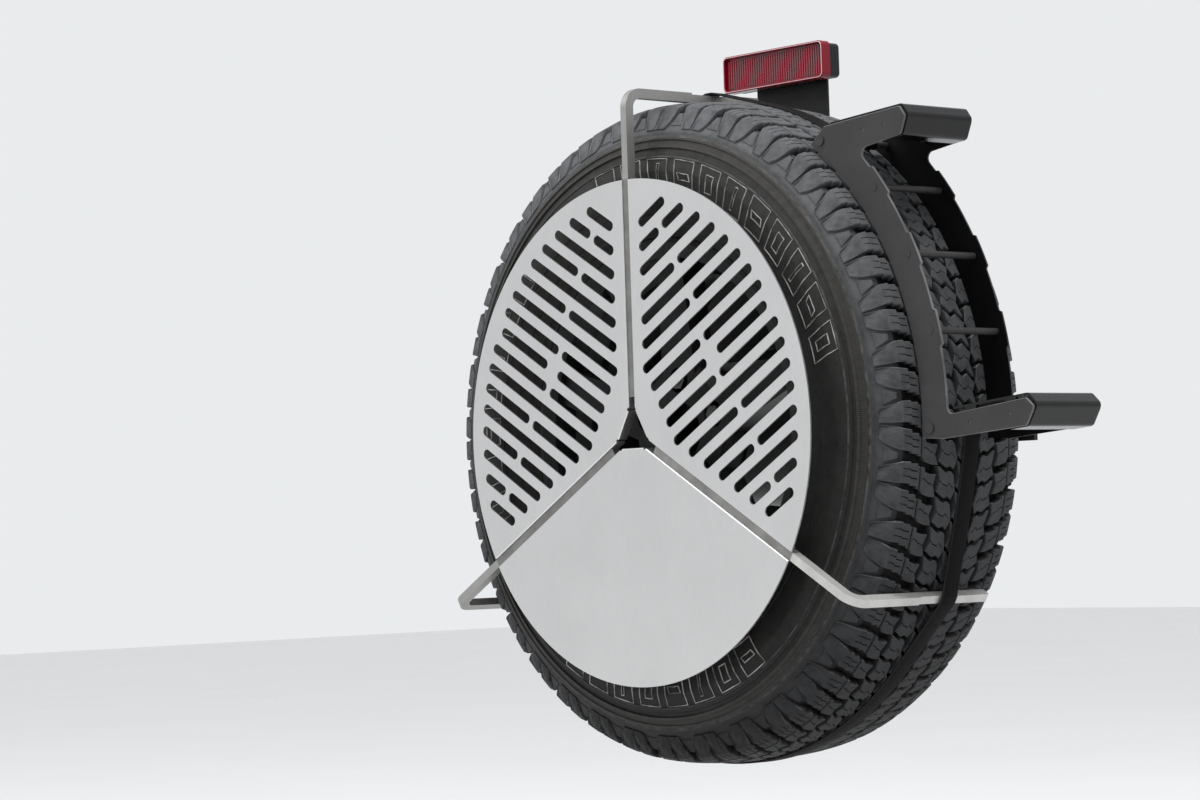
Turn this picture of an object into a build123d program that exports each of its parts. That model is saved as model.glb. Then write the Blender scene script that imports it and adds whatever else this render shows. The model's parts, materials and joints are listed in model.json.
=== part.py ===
from build123d import *
import math
import os

os.makedirs("parts", exist_ok=True)

# Spare wheel on a tailgate carrier, dressed with a three-legged grate, a step
# bracket, a lashing strap with its ratchet, and a high brake lamp.
# Millimetres. +Z is up, -Y faces away from the vehicle, and the wheel axis is Y.
# Y = 0 is the face of the plate that bolts to the tailgate.

# ---- wheel and tyre --------------------------------------------------------
MID_Y = -185.0          # middle of the tyre's section
TYRE_R = 404.0          # crown radius
TREAD_HALF = 96.0       # from the middle to the shoulder edge
SHOULDER_R = 392.0
BULGE_HALF = 126.0      # half of the section width
BULGE_R = 315.0
BEAD_R = 218.3          # 17 inch bead seat
FLANGE_R = 236.0
HUB_Y = -229.0          # face of the wheel that meets the carrier
STUD_PCD_R = 63.5       # five studs on a 127 mm circle
STUD_R = 6.0
LUGS = 60               # shoulder blocks round the tread
LUG_GAP = 11.0
LUG_DEPTH = 11.0

# ---- tailgate plate and stand-off -----------------------------------------
PLATE_W = 480.0
PLATE_LOW = -110.0
PLATE_TOP = 230.0
PLATE_WAIST = 250.0     # width of the plate's lower edge
PLATE_CUT = 60.0        # cut off each upper corner
PLATE_T = 6.0
BOLT_X = 200.0          # hole spacing across
BOLT_Z = 170.0          # hole spacing up
BOLT_R = 5.5
CONE_BASE_R = 100.0
CONE_TOP_R = 82.0
CONE_WALL = 4.0
WHEEL_PLATE_R = 86.0
WHEEL_PLATE_T = 8.0
STOP_X = 315.0          # rubber stops sit where the sidewall bulges most
STOP_ARM_H = 50.0

# ---- lamp ------------------------------------------------------------------
LAMP_W = 180.0
LAMP_H = 47.0
LAMP_Z = 458.0
LAMP_FRONT = -87.0
LAMP_SEAM = -73.0
LAMP_BACK = -53.0
LAMP_RIM = 3.0          # wall of the red frame round the sunk lens
LENS_SET = 6.0
STALK_W = 126.0
STALK_T = 3.0

# ---- grate -----------------------------------------------------------------
GRATE_R = 305.0
GRATE_Y = -340.0        # front face of the three panels
SHEET = 2.0
GAP = 10.4              # between neighbouring panels
FOLD = 14.0             # depth of the folded edges
NOSE_CUT = 18.5         # distance of the inner edge from the wheel axis
SLOT_PITCH = 25.4
SLOT_W = 12.5
SLOT_OUT_R = 284.0
SLOT_EDGE = 24.0
BRIDGE = 8.0
LEG_W = 10.0
LEG_T = 12.0
LEG_R = 410.5           # middle of the bar where it crosses the tread
LEG_SET = 2.0           # bar stands this far behind the panel face
LEG_IN_R = 43.0
LEG_BEND = 24.0
LEG_END = -116.0
NOTCH_FROM = -229.0
NOTCH_TO = -169.0
NOTCH_D = 2.0

# ---- step bracket ----------------------------------------------------------
STEP_FRONT = -262.0
STEP_REAR = -150.0
STEP_T = 3.0
STEP_IN_R = 404.4
STEP_OUT_R = 443.5
STEP_BUMP = 3.5         # the side plates are this much wider beside each rod
BUMP_HALF = 2.9         # degrees
STEP_SCREWS = ((360.0, 337.0), (326.0, 333.0), (536.0, -2.0), (476.0, -9.0))
SINK_R = 5.6            # countersunk heads
SINK_D = 2.2
ROD_R = 4.0
ROD_AT_R = 433.0
ROD_ANGLES = (37.9, 25.4, 12.9)
PIN_R = 4.0
PIN_AT_R = 417.0
PIN_UP = 51.8
PIN_LOW = -1.8

# ---- strap and ratchet -----------------------------------------------------
STRAP_W = 25.0
STRAP_T = 2.0
STRAP_IN_R = 404.15
STRAP_LEG_R = 416.85    # runs just clear of the legs' outer faces
RATCHET_AT = 157.0
SPOOL_X = -20.0
SPOOL_N = 17.0
ANCHOR_X = 42.0
ANCHOR_N = 7.0
TIP_R = 15.0
ROOT_R = 11.5
ROLL_R = 10.5
DRIVE_DIR = 10.0
LOCK_DIR = -20.0

# ---- helpers ---------------------------------------------------------------


def at_angle(radius, degrees):
    """Point of the XZ plane at a radius and an angle from +X towards +Z."""
    turn = math.radians(degrees)
    return (radius * math.cos(turn), radius * math.sin(turn))


def outline(*points):
    """Closed straight-sided outline."""
    return make_face(Polyline(*points, close=True))


def slab(face, front, back):
    """Plate with an XZ outline, from its front Y to its back Y."""
    return extrude(Plane.XZ.offset(-back) * face, back - front)


def turned(*points):
    """Solid turned about the wheel axis from (radius, Y) points."""
    return revolve(outline(*points), Axis.Y, 360)


def rod(x, z, radius, front, back):
    """Round bar along Y."""
    return slab(Pos(x, z) * Circle(radius), front, back)


def round_to(degrees, shape):
    """Turn a shape made at the top of the wheel to another angle round it."""
    return Rot(0, 90.0 - degrees, 0) * shape


def on_tread(x, height):
    """Point near the top of the tread, in the ratchet's own frame."""
    return (x, TYRE_R + height)


def along(direction, radius, side=0.0):
    """Point measured from the spool axis, along a direction of the ratchet."""
    turn = math.radians(direction)
    return (
        SPOOL_X + radius * math.cos(turn) - side * math.sin(turn),
        TYRE_R + SPOOL_N + radius * math.sin(turn) + side * math.cos(turn),
    )


def bar_along(direction, near, far, thick, front, back):
    """Flat bar on a line through the spool axis."""
    half = thick / 2.0
    face = outline(
        along(direction, near, -half),
        along(direction, far, -half),
        along(direction, far, half),
        along(direction, near, half),
    )
    return slab(face, front, back)


def both_sides(face, near, far):
    """The same outline on both sides of the strap's middle."""
    left = slab(face, MID_Y - far, MID_Y - near)
    right = slab(face, MID_Y + near, MID_Y + far)
    return left + right


def save(shape, node):
    export_step(shape, "parts/" + node + ".step")


# ---- tailgate plate and stand-off -----------------------------------------


def tailgate_plate():
    half = PLATE_W / 2.0
    waist = PLATE_WAIST / 2.0
    face = outline(
        (-half, -STOP_ARM_H / 2.0), (-waist, PLATE_LOW), (waist, PLATE_LOW), (half, -STOP_ARM_H / 2.0),
        (half, PLATE_TOP - PLATE_CUT), (half - PLATE_CUT, PLATE_TOP),
        (PLATE_CUT - half, PLATE_TOP), (-half, PLATE_TOP - PLATE_CUT),
    )
    for x in (-BOLT_X / 2.0, BOLT_X / 2.0):
        for z in (-BOLT_Z / 2.0, BOLT_Z / 2.0):
            face -= Pos(x, z) * Circle(BOLT_R)
    for x in (-38.0, 38.0):
        face -= Pos(x, 158.0) * Circle(4.05)
    return slab(face, -PLATE_T, 0.0)


def standoff_cone():
    top = HUB_Y + WHEEL_PLATE_T
    return turned(
        (CONE_BASE_R, -PLATE_T),
        (CONE_TOP_R, top),
        (CONE_TOP_R - CONE_WALL, top),
        (CONE_BASE_R - CONE_WALL, -PLATE_T),
    )


def standoff_ribs():
    top = HUB_Y + WHEEL_PLATE_T
    slope = (CONE_BASE_R - CONE_TOP_R) / (-PLATE_T - top)
    reach = -150.0
    inner = CONE_BASE_R - slope * (-PLATE_T - reach)
    ribs = None
    for turn in (0.0, 180.0, 270.0):
        face = outline(
            (CONE_BASE_R + 0.02, -PLATE_T),
            (CONE_BASE_R + 24.0, -PLATE_T),
            (CONE_BASE_R + 24.0, -PLATE_T - 10.0),
            (inner + 5.0, reach),
            (inner + 0.02, reach),
        )
        rib = extrude(face, 2.5, both=True)
        rib = Rot(0, turn, 0) * rib
        ribs = rib if ribs is None else ribs + rib
    return ribs - turned(
        (CONE_BASE_R, -PLATE_T),
        (CONE_TOP_R, top),
        (0.0, top),
        (0.0, -PLATE_T),
    )


def wheel_plate():
    face = Circle(WHEEL_PLATE_R) - Circle(30.0)
    for i in range(5):
        x, z = at_angle(STUD_PCD_R, 90.0 + 72.0 * i)
        face -= Pos(x, z) * Circle(STUD_R + 0.03)
    ring = slab(face, HUB_Y, HUB_Y + WHEEL_PLATE_T)
    spigot = slab(Circle(35.5) - Circle(30.0), HUB_Y - 12.0, HUB_Y + WHEEL_PLATE_T)
    return ring + spigot


def wheel_studs():
    studs = None
    for i in range(5):
        x, z = at_angle(STUD_PCD_R, 90.0 + 72.0 * i)
        back = HUB_Y + WHEEL_PLATE_T
        stud = rod(x, z, STUD_R, HUB_Y - 36.0, back)
        stud += rod(x, z, 9.0, back, back + 4.0)
        studs = stud if studs is None else studs + stud
    return studs


def lug_nuts():
    nuts = None
    for i in range(5):
        x, z = at_angle(STUD_PCD_R, 90.0 + 72.0 * i)
        seat = HUB_Y - 15.0
        hexagon = Pos(x, z) * (RegularPolygon(11.5, 6) - Circle(STUD_R + 0.03))
        nut = slab(hexagon, seat - 20.0, seat - 0.1)
        nut += slab(Pos(x, z) * (Circle(13.5) - Circle(STUD_R + 0.03)), seat - 3.0, seat - 0.1)
        nuts = nut if nuts is None else nuts + nut
    return nuts


def stop_arms():
    arms = None
    for side in (-1.0, 1.0):
        inner = side * PLATE_W / 2.0
        outer = side * (STOP_X + 28.0)
        face = Pos((inner + outer) / 2.0, 0) * Rectangle(abs(outer - inner), STOP_ARM_H)
        face -= Pos(side * STOP_X, 0) * Circle(4.05)
        arm = slab(face, -PLATE_T, 0.0)
        lip = slab(Pos((inner + outer) / 2.0, 23.5) * Rectangle(abs(outer - inner), 3.0), -20.0, -PLATE_T)
        arm += lip
        arms = arm if arms is None else arms + arm
    return arms


def stop_pads():
    touch = MID_Y + BULGE_HALF + 0.15
    pads = None
    for side in (-1.0, 1.0):
        profile = outline(
            (0.0, touch),
            (13.0, touch),
            (17.0, touch + 5.0),
            (19.0, -PLATE_T - 0.02),
            (4.0, -PLATE_T - 0.02),
            (4.0, -0.5),
            (0.0, -0.5),
        )
        pad = Pos(side * STOP_X, 0, 0) * revolve(profile, Axis.Y, 360)
        pads = pad if pads is None else pads + pad
    return pads


# ---- lamp ------------------------------------------------------------------


def lamp_stalk():
    """Bent sheet from the tailgate plate up to the back of the lamp."""
    foot = -PLATE_T
    rise = LAMP_BACK + STALK_T
    top = LAMP_Z + LAMP_H / 2.0 - 10.0
    side = outline(
        (foot, 128.0),
        (foot, 196.0),
        (rise, 242.0),
        (rise, top),
        (rise - STALK_T, top),
        (rise - STALK_T, 240.8),
        (foot - STALK_T, 194.8),
        (foot - STALK_T, 128.0),
    )
    plate = extrude(Plane.YZ * side, STALK_W / 2.0, both=True)
    for x in (-38.0, 38.0):
        plate -= rod(x, 158.0, 4.05, -20.0, 0.0)
        plate -= rod(x, LAMP_Z, 3.05, LAMP_BACK - 1.0, rise + 1.0)
    return plate


def stalk_bolts():
    bolts = None
    for x in (-38.0, 38.0):
        bolt = rod(x, 158.0, 4.0, -PLATE_T - STALK_T, -0.5)
        bolt += slab(Pos(x, 158.0) * RegularPolygon(7.5, 6), -PLATE_T - STALK_T - 5.5, -PLATE_T - STALK_T)
        bolts = bolt if bolts is None else bolts + bolt
    for x in (-38.0, 38.0):
        screw = rod(x, LAMP_Z, 3.0, LAMP_BACK - 4.0, LAMP_BACK + STALK_T)
        screw += slab(Pos(x, LAMP_Z) * RegularPolygon(5.5, 6), LAMP_BACK + STALK_T, LAMP_BACK + STALK_T + 4.0)
        bolts += screw
    return bolts


def lamp_face(grow, radius):
    return Pos(0, LAMP_Z) * RectangleRounded(LAMP_W + grow, LAMP_H + grow, radius)


def lamp_housing():
    body = slab(lamp_face(-4.0, 6.0), LAMP_SEAM, LAMP_BACK)
    body = fillet(body.edges().group_by(Axis.Y)[-1], 4.0)
    body -= slab(lamp_face(-9.0, 4.0), LAMP_SEAM, LAMP_BACK - 4.0)
    for x in (-38.0, 38.0):
        body -= rod(x, LAMP_Z, 3.0, LAMP_BACK - 5.0, LAMP_BACK + 1.0)
    return body


def lamp_frame():
    body = slab(lamp_face(0.0, 7.0) - lamp_face(-2.0 * LAMP_RIM, 4.5), LAMP_FRONT, LAMP_SEAM)
    front = body.faces().sort_by(Axis.Y)[0]
    return chamfer(front.edges(), 0.8)


def lamp_lens():
    front = LAMP_FRONT + LENS_SET
    plate = slab(lamp_face(-2.0 * LAMP_RIM - 0.3, 4.3), front, front + 3.0)
    ribs = []
    count = 41
    width = LAMP_W - 14.0
    for i in range(count):
        x = -width / 2.0 + width * i / (count - 1)
        ribs.append(slab(Pos(x, LAMP_Z) * Rectangle(2.0, LAMP_H - 12.0), front - 1.2, front + 0.2))
    return plate + ribs


def lamp_board():
    board = slab(lamp_face(-16.0, 2.0), LAMP_SEAM - 2.0, LAMP_SEAM - 0.4)
    emitters = []
    for i in range(8):
        x = -70.0 + 20.0 * i
        emitters.append(rod(x, LAMP_Z, 2.5, LAMP_SEAM - 4.0, LAMP_SEAM - 1.9))
    return board + emitters


# ---- wheel -----------------------------------------------------------------


def rim_barrel():
    points = [
        (236.0, -103.0), (236.0, -99.0), (221.0, -95.5), (BEAD_R, -91.0), (BEAD_R, -60.0),
        (201.0, -46.0), (197.0, -40.0), (197.0, 22.0), (203.0, 34.0), (BEAD_R, 56.0),
        (BEAD_R, 91.0), (221.0, 95.5), (236.0, 99.0), (236.0, 103.0),
        (231.0, 103.0), (214.0, 99.0), (212.0, 60.0), (206.0, 48.0), (191.0, 24.0),
        (191.0, -42.0), (195.5, -51.0), (211.0, -64.0), (212.5, -96.0), (230.0, -103.0),
    ]
    return turned(*[(r, MID_Y + y) for r, y in points])


def rim_spokes():
    front = HUB_Y - 33.0
    hub = turned((35.75, HUB_Y), (84.0, HUB_Y), (84.0, front + 8.0), (76.0, front), (35.75, front))
    spoke_side = outline(
        (70.0, HUB_Y),
        (84.0, HUB_Y),
        (190.0, HUB_Y - 6.0),
        (196.0, HUB_Y - 8.0),
        (216.0, HUB_Y - 14.0),
        (216.0, HUB_Y - 44.0),
        (196.0, HUB_Y - 42.0),
        (120.0, HUB_Y - 36.0),
        (70.0, front),
    )
    plan = outline((60.0, -30.0), (218.0, -21.0), (218.0, 21.0), (60.0, 30.0))
    spoke = extrude(spoke_side, 40.0, both=True) & (Rot(90, 0, 0) * extrude(plan, 320.0))
    wheel = hub
    for i in range(5):
        wheel += Rot(0, -90.0 + 72.0 * i, 0) * spoke
    for i in range(5):
        x, z = at_angle(STUD_PCD_R, 90.0 + 72.0 * i)
        wheel -= rod(x, z, 7.5, HUB_Y - 60.0, HUB_Y + 1.0)
        wheel -= rod(x, z, 16.0, HUB_Y - 60.0, HUB_Y - 15.0)
    return wheel - turned((BEAD_R + 30, MID_Y - 103), (BEAD_R + 30, MID_Y + 40), (191.0, MID_Y + 40),
                          (191.0, MID_Y - 42), (195.5, MID_Y - 51), (211.0, MID_Y - 64),
                          (212.5, MID_Y - 96), (214.0, MID_Y - 103))


def valve_stem():
    y = MID_Y - 78.0
    angle = 126.0
    stem = Cylinder(4.0, 30.0, align=(Align.CENTER, Align.CENTER, Align.MIN))
    stem += Cylinder(5.0, 10.0, align=(Align.CENTER, Align.CENTER, Align.MIN))
    stem = Pos(0, y, 181.0) * stem
    return round_to(angle, stem)


def tyre_section():
    """Outer and inner surface of the tyre, half by half, as (radius, offset)."""
    outer = [
        (219.0, 91.8), (221.2, 95.1), (235.9, 98.6), (236.7, 99.4), (236.8, 103.4), (240.0, 105.5),
        (250.0, 110.0), (268.0, 117.0),
        (290.0, 123.5), (BULGE_R, BULGE_HALF), (338.0, 122.6), (358.0, 115.0), (374.0, 107.0),
        (SHOULDER_R - 6.0, TREAD_HALF + 3.0), (SHOULDER_R, TREAD_HALF), (398.0, 86.0),
        (401.0, 72.0), (402.8, 50.0), (TYRE_R, 24.0),
    ]
    inner = [
        (387.0, 0.0), (386.0, 40.0), (380.0, 70.0), (368.0, 90.0), (345.0, 107.0), (315.0, 114.0),
        (285.0, 111.0), (258.0, 101.0), (240.0, 90.0), (224.0, 70.0), (BEAD_R + 0.1, 68.0),
    ]
    return outer, inner


def tyre():
    outer, inner = tyre_section()
    ring = [(r, MID_Y - y) for r, y in outer]
    ring += [(r, MID_Y + y) for r, y in reversed(outer)]
    ring += [(BEAD_R + 0.1, MID_Y + 90.5)]
    ring += [(r, MID_Y + y) for r, y in reversed(inner)]
    ring += [(r, MID_Y - y) for r, y in inner[1:]]
    ring += [(BEAD_R + 0.1, MID_Y - 90.5)]
    body = turned(*ring)
    for side in (-1.0, 1.0):
        y = MID_Y + side * 33.0
        floor = TYRE_R - LUG_DEPTH
        body -= turned((420.0, y - 4.0), (420.0, y + 4.0), (floor, y + 3.0), (floor, y - 3.0))
    cuts = []
    for i in range(LUGS):
        for side in (-1.0, 1.0):
            low = 40.0 if i % 2 else 52.0
            block = Box(LUG_GAP, 140.0 - low, 40.0)
            block = Pos(0, MID_Y + side * (140.0 + low) / 2.0, 391.0 + 20.0) * block
            shift = 1.5 if side > 0 else -1.5
            cuts.append(round_to(360.0 * i / LUGS + shift, block))
    return body - cuts


# ---- grate -----------------------------------------------------------------


def leg():
    """One bent flat bar, made at the top of the wheel."""
    front = GRATE_Y + LEG_SET
    back = front + LEG_T
    top = LEG_R + LEG_T / 2.0
    low = LEG_R - LEG_T / 2.0
    inner_bend = LEG_BEND - LEG_T
    edges = [
        Line((front, LEG_IN_R), (front, top - LEG_BEND)),
        RadiusArc((front, top - LEG_BEND), (front + LEG_BEND, top), LEG_BEND),
        Line((front + LEG_BEND, top), (LEG_END - 3.0, top)),
        RadiusArc((LEG_END - 3.0, top), (LEG_END, top - 3.0), 3.0),
        Line((LEG_END, top - 3.0), (LEG_END, low + 3.0)),
        RadiusArc((LEG_END, low + 3.0), (LEG_END - 3.0, low), 3.0),
        Line((LEG_END - 3.0, low), (back + inner_bend, low)),
        RadiusArc((back + inner_bend, low), (back, low - inner_bend), -inner_bend),
        Line((back, low - inner_bend), (back, LEG_IN_R)),
        Line((back, LEG_IN_R), (front, LEG_IN_R)),
    ]
    bar = extrude(Plane.YZ * make_face(edges), LEG_W / 2.0, both=True)
    middle = (NOTCH_FROM + NOTCH_TO) / 2.0
    bar -= Pos(0, middle, top) * Box(LEG_W + 2.0, NOTCH_TO - NOTCH_FROM, 2.0 * NOTCH_D)
    for r in (120.0, 250.0):
        bar -= Pos(0, (front + back) / 2.0, r) * Rot(0, 90, 0) * Cylinder(2.55, 20.0)
    return bar


def panel_outline(edge, nose, radius):
    """Third of a disc, pointing up, cut back from the legs and the middle."""
    far = 600.0
    tangent = math.tan(math.radians(30.0))
    low = edge / math.cos(math.radians(30.0))
    start = (nose - low) / tangent
    wedge = outline(
        (-start, nose),
        (start, nose),
        (far, low + far * tangent),
        (far, 2.0 * far),
        (-far, 2.0 * far),
        (-far, low + far * tangent),
    )
    return wedge & Circle(radius)


def panel_slots():
    slots = []
    for row in range(-8, 9):
        x = row * SLOT_PITCH
        k = abs(row)
        low = (SLOT_EDGE + 0.5 * abs(x)) / math.cos(math.radians(30.0))
        high = math.sqrt(SLOT_OUT_R ** 2 - x ** 2)
        if k < 2:
            low = 57.5
        if k == 0:
            high = 277.0
        spans = [(low, high)]
        if k in (1, 3, 5, 7):
            middle = 163.5 if k == 1 else 174.5
            spans = [(low, middle - BRIDGE / 2.0), (middle + BRIDGE / 2.0, high)]
        if k == 0:
            spans = [(low, 156.0), (178.5, high)]
        for a, b in spans:
            slots.append(Pos(x, (a + b) / 2.0) * Rot(0, 0, 90) * SlotOverall(b - a, SLOT_W))
    return slots


def panel(slotted):
    """Pressed sheet with its straight edges folded back."""
    back = GRATE_Y + FOLD
    blank = slab(panel_outline(GAP / 2.0, NOSE_CUT, GRATE_R), GRATE_Y, back)
    hollow = slab(panel_outline(GAP / 2.0 + SHEET, NOSE_CUT + SHEET, GRATE_R + 50.0), GRATE_Y + SHEET, back)
    front = blank.faces().sort_by(Axis.Y)[0]
    straight = front.edges().filter_by(GeomType.LINE)
    blank = fillet(straight, 1.8)
    blank -= hollow
    start = (NOSE_CUT - GAP / 2.0 / math.cos(math.radians(30.0))) / math.tan(math.radians(30.0))
    for side in (-1.0, 1.0):
        blank -= slab(Pos(side * start, NOSE_CUT) * Circle(2.6), GRATE_Y - 1.0, back + 1.0)
        x, z = at_angle(GRATE_R, 90.0 - side * 60.0)
        blank -= slab(Pos(x, z) * Circle(11.0), GRATE_Y + SHEET, back + 1.0)
    if slotted:
        blank -= [slab(s, GRATE_Y - 1.0, GRATE_Y + 4.0) for s in panel_slots()]
    y = GRATE_Y + LEG_SET + LEG_T / 2.0
    for side in (-1.0, 1.0):
        for r in (120.0, 250.0):
            hole = Pos(0, y, r) * Rot(0, 90, 0) * Cylinder(2.55, 24.0)
            blank -= Rot(0, side * 60.0, 0) * hole
    return blank


def leg_screws():
    """Cross screws that hold the folded edges to the legs."""
    y = GRATE_Y + LEG_SET + LEG_T / 2.0
    half = GAP / 2.0 + SHEET
    screws = None
    for angle in (90.0, 210.0, 330.0):
        for r in (120.0, 250.0):
            pin = Rot(0, 90, 0) * Cylinder(2.5, 2.0 * half)
            head = Pos(half + 1.25, 0, 0) * Rot(0, 90, 0) * Cylinder(4.5, 2.5)
            nut = Pos(-half - 1.5, 0, 0) * Rot(0, 90, 0) * extrude(RegularPolygon(4.6, 6), 1.5, both=True)
            screw = round_to(angle, Pos(0, y, r) * (pin + head + nut))
            screws = screw if screws is None else screws + screw
    return screws


# ---- step bracket ----------------------------------------------------------


def step_arc(start, end):
    """Outer edge of the side plate between two angles, wider beside each rod."""
    marks = [(start, STEP_OUT_R)]
    for angle in sorted(ROD_ANGLES, reverse=True):
        high = angle + BUMP_HALF
        low = angle - BUMP_HALF
        marks += [(high, STEP_OUT_R), (high - 0.35, STEP_OUT_R + STEP_BUMP)]
        marks += [(low + 0.35, STEP_OUT_R + STEP_BUMP), (low, STEP_OUT_R)]
    marks.append((end, STEP_OUT_R))
    edges = []
    for (a, ra), (b, rb) in zip(marks, marks[1:]):
        if ra == rb:
            edges.append(ThreePointArc(at_angle(ra, a), at_angle(ra, (a + b) / 2.0), at_angle(rb, b)))
        else:
            edges.append(Line(at_angle(ra, a), at_angle(rb, b)))
    return edges


def step_outline():
    """Side plate: a saddle on the tread with two steps standing out of it."""
    first = at_angle(STEP_IN_R, -3.4)
    middle = at_angle(STEP_IN_R, 25.0)
    last = at_angle(STEP_IN_R, 53.4)
    top_corner = at_angle(STEP_OUT_R, 44.6)
    low_corner = at_angle(STEP_OUT_R, 0.1)
    upper = [(264.0, 344.0), (386.0, 354.0), (394.5, 342.0), (386.0, 321.5)]
    lower = [(561.0, 14.0), (572.5, 4.0), (560.4, -16.6), (435.0, -26.0)]
    edges = [ThreePointArc(first, middle, last)]
    chain = [last] + upper + [top_corner]
    edges += [Line(a, b) for a, b in zip(chain, chain[1:])]
    edges += step_arc(44.6, 0.1)
    chain = [low_corner] + lower + [first]
    edges += [Line(a, b) for a, b in zip(chain, chain[1:])]
    face = make_face(edges)
    for targets, radius in (((top_corner, low_corner), 8.0), (upper[1:] + lower[:3], 4.5)):
        corners = [face.vertices().sort_by_distance((x, z, 0))[0] for x, z in targets]
        face = fillet(corners, radius)
    return face


def countersink(x, z, face_y, way):
    """Cone of a screw head, its wide end flush with a face; way is +1 into +Y."""
    deep = face_y + way * SINK_D
    cone = turned((0.0, face_y), (SINK_R, face_y), (3.0, deep), (0.0, deep))
    return Pos(x, 0, z) * cone


def step_plate(front, outside, way):
    face = step_outline()
    for angle in ROD_ANGLES:
        x, z = at_angle(ROD_AT_R, angle)
        face -= Pos(x, z) * Circle(ROD_R + 0.05)
    for angle in (PIN_UP, PIN_LOW):
        x, z = at_angle(PIN_AT_R, angle)
        face -= Pos(x, z) * Circle(PIN_R + 0.05)
    plate = slab(face, front, front + STEP_T)
    rim = plate.faces().sort_by(Axis.Y)[0 if way > 0 else -1].outer_wire()
    plate = chamfer(rim.edges(), 0.7)
    for x, z in STEP_SCREWS:
        plate -= rod(x, z, 3.05, front, front + STEP_T)
        plate -= countersink(x, z, outside, way)
    return plate


def folded(points, thick, radius):
    """Section of a sheet folded along an open line, with round outer corners."""
    padded = [points[0]] + points + [points[-1]]
    inner = []
    for before, point, after in zip(padded, points, padded[2:]):
        sides = [(before, point), (point, after)]
        normals = []
        for a, b in sides:
            run = math.hypot(b[0] - a[0], b[1] - a[1])
            if run > 0.0:
                normals.append(((b[1] - a[1]) / run, (a[0] - b[0]) / run))
        (ax, az), (bx, bz) = normals[0], normals[-1]
        share = thick / (1.0 + ax * bx + az * bz)
        inner.append((point[0] + (ax + bx) * share, point[1] + (az + bz) * share))
    outside = FilletPolyline(*points, radius=radius)
    inside = FilletPolyline(*inner, radius=radius - thick)
    ends = [Line(points[0], inner[0]), Line(points[-1], inner[-1])]
    return make_face(outside.edges() + inside.edges() + ends)


def step_tread(which):
    """Sheet folded down round the nose of a step and back under it."""
    if which == "upper":
        points = [(272.0, 347.8), (388.0, 357.0), (397.5, 344.0), (387.5, 320.0), (366.0, 318.5)]
        screws = STEP_SCREWS[:2]
    else:
        points = [(450.0, 9.0), (562.0, 19.6), (576.0, 6.5), (561.5, -17.5), (534.0, -20.0)]
        screws = STEP_SCREWS[2:]
    thick = 2.5
    front = STEP_FRONT + STEP_T + 0.4
    back = STEP_REAR - STEP_T - 0.4
    sheet = slab(folded(points, thick, 6.5), front, back)
    start, top = points[0], points[1]
    run = top[0] - start[0]
    slope = (top[1] - start[1]) / run
    cuts = []
    for share in (0.2, 0.48, 0.76):
        for row in (-31.0, 0.0, 31.0):
            x = start[0] + run * share
            z = start[1] + slope * (x - start[0])
            cuts.append(Pos(x, (front + back) / 2.0 + row, z) * Cylinder(6.5, 16.0))
    sheet -= cuts
    for x, z in screws:
        for y in (front, back - 3.0):
            top_z = start[1] + slope * (x - start[0]) - thick / 2.0
            low = z - 8.0
            tab = Pos(x, (low + top_z) / 2.0) * Rectangle(16.0, top_z - low)
            tab -= Pos(x, z) * Circle(3.05)
            sheet += slab(tab, y, y + 3.0)
    return sheet


def step_rods():
    rods = None
    for angle in ROD_ANGLES:
        x, z = at_angle(ROD_AT_R, angle)
        bar = rod(x, z, ROD_R, STEP_FRONT, STEP_REAR)
        bar += rod(x, z, ROD_R + 1.0, STEP_FRONT - 0.6, STEP_FRONT)
        bar += rod(x, z, ROD_R + 1.0, STEP_REAR, STEP_REAR + 0.6)
        rods = bar if rods is None else rods + bar
    return rods


def step_bolts():
    """Countersunk screws from outside, each with a nut behind the tread's tab."""
    bolts = None
    nut_at = STEP_T + 3.4
    for x, z in STEP_SCREWS:
        for outside, way in ((STEP_FRONT, 1.0), (STEP_REAR, -1.0)):
            near = outside + way * 0.3
            far = outside + way * nut_at
            end = outside + way * (nut_at + 5.0)
            bolt = rod(x, z, 3.0, min(near, far), max(near, far)) + countersink(x, z, outside, way)
            bolt += slab(Pos(x, z) * RegularPolygon(5.4, 6), min(far, end), max(far, end))
            key = outside + way * 1.3
            bolt -= slab(Pos(x, z) * RegularPolygon(2.2, 6), min(outside, key), max(outside, key))
            bolts = bolt if bolts is None else bolts + bolt
    return bolts


def strap_pins():
    pins = None
    for angle in (PIN_UP, PIN_LOW):
        x, z = at_angle(PIN_AT_R, angle)
        pin = rod(x, z, PIN_R, STEP_FRONT, STEP_REAR)
        pin += rod(x, z, 6.0, STEP_FRONT - 2.0, STEP_FRONT)
        pin += rod(x, z, 6.0, STEP_REAR, STEP_REAR + 2.0)
        pins = pin if pins is None else pins + pin
    return pins


# ---- strap -----------------------------------------------------------------


def mixed(a, b, share):
    return (a[0] + (b[0] - a[0]) * share, a[1] + (b[1] - a[1]) * share)


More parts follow.
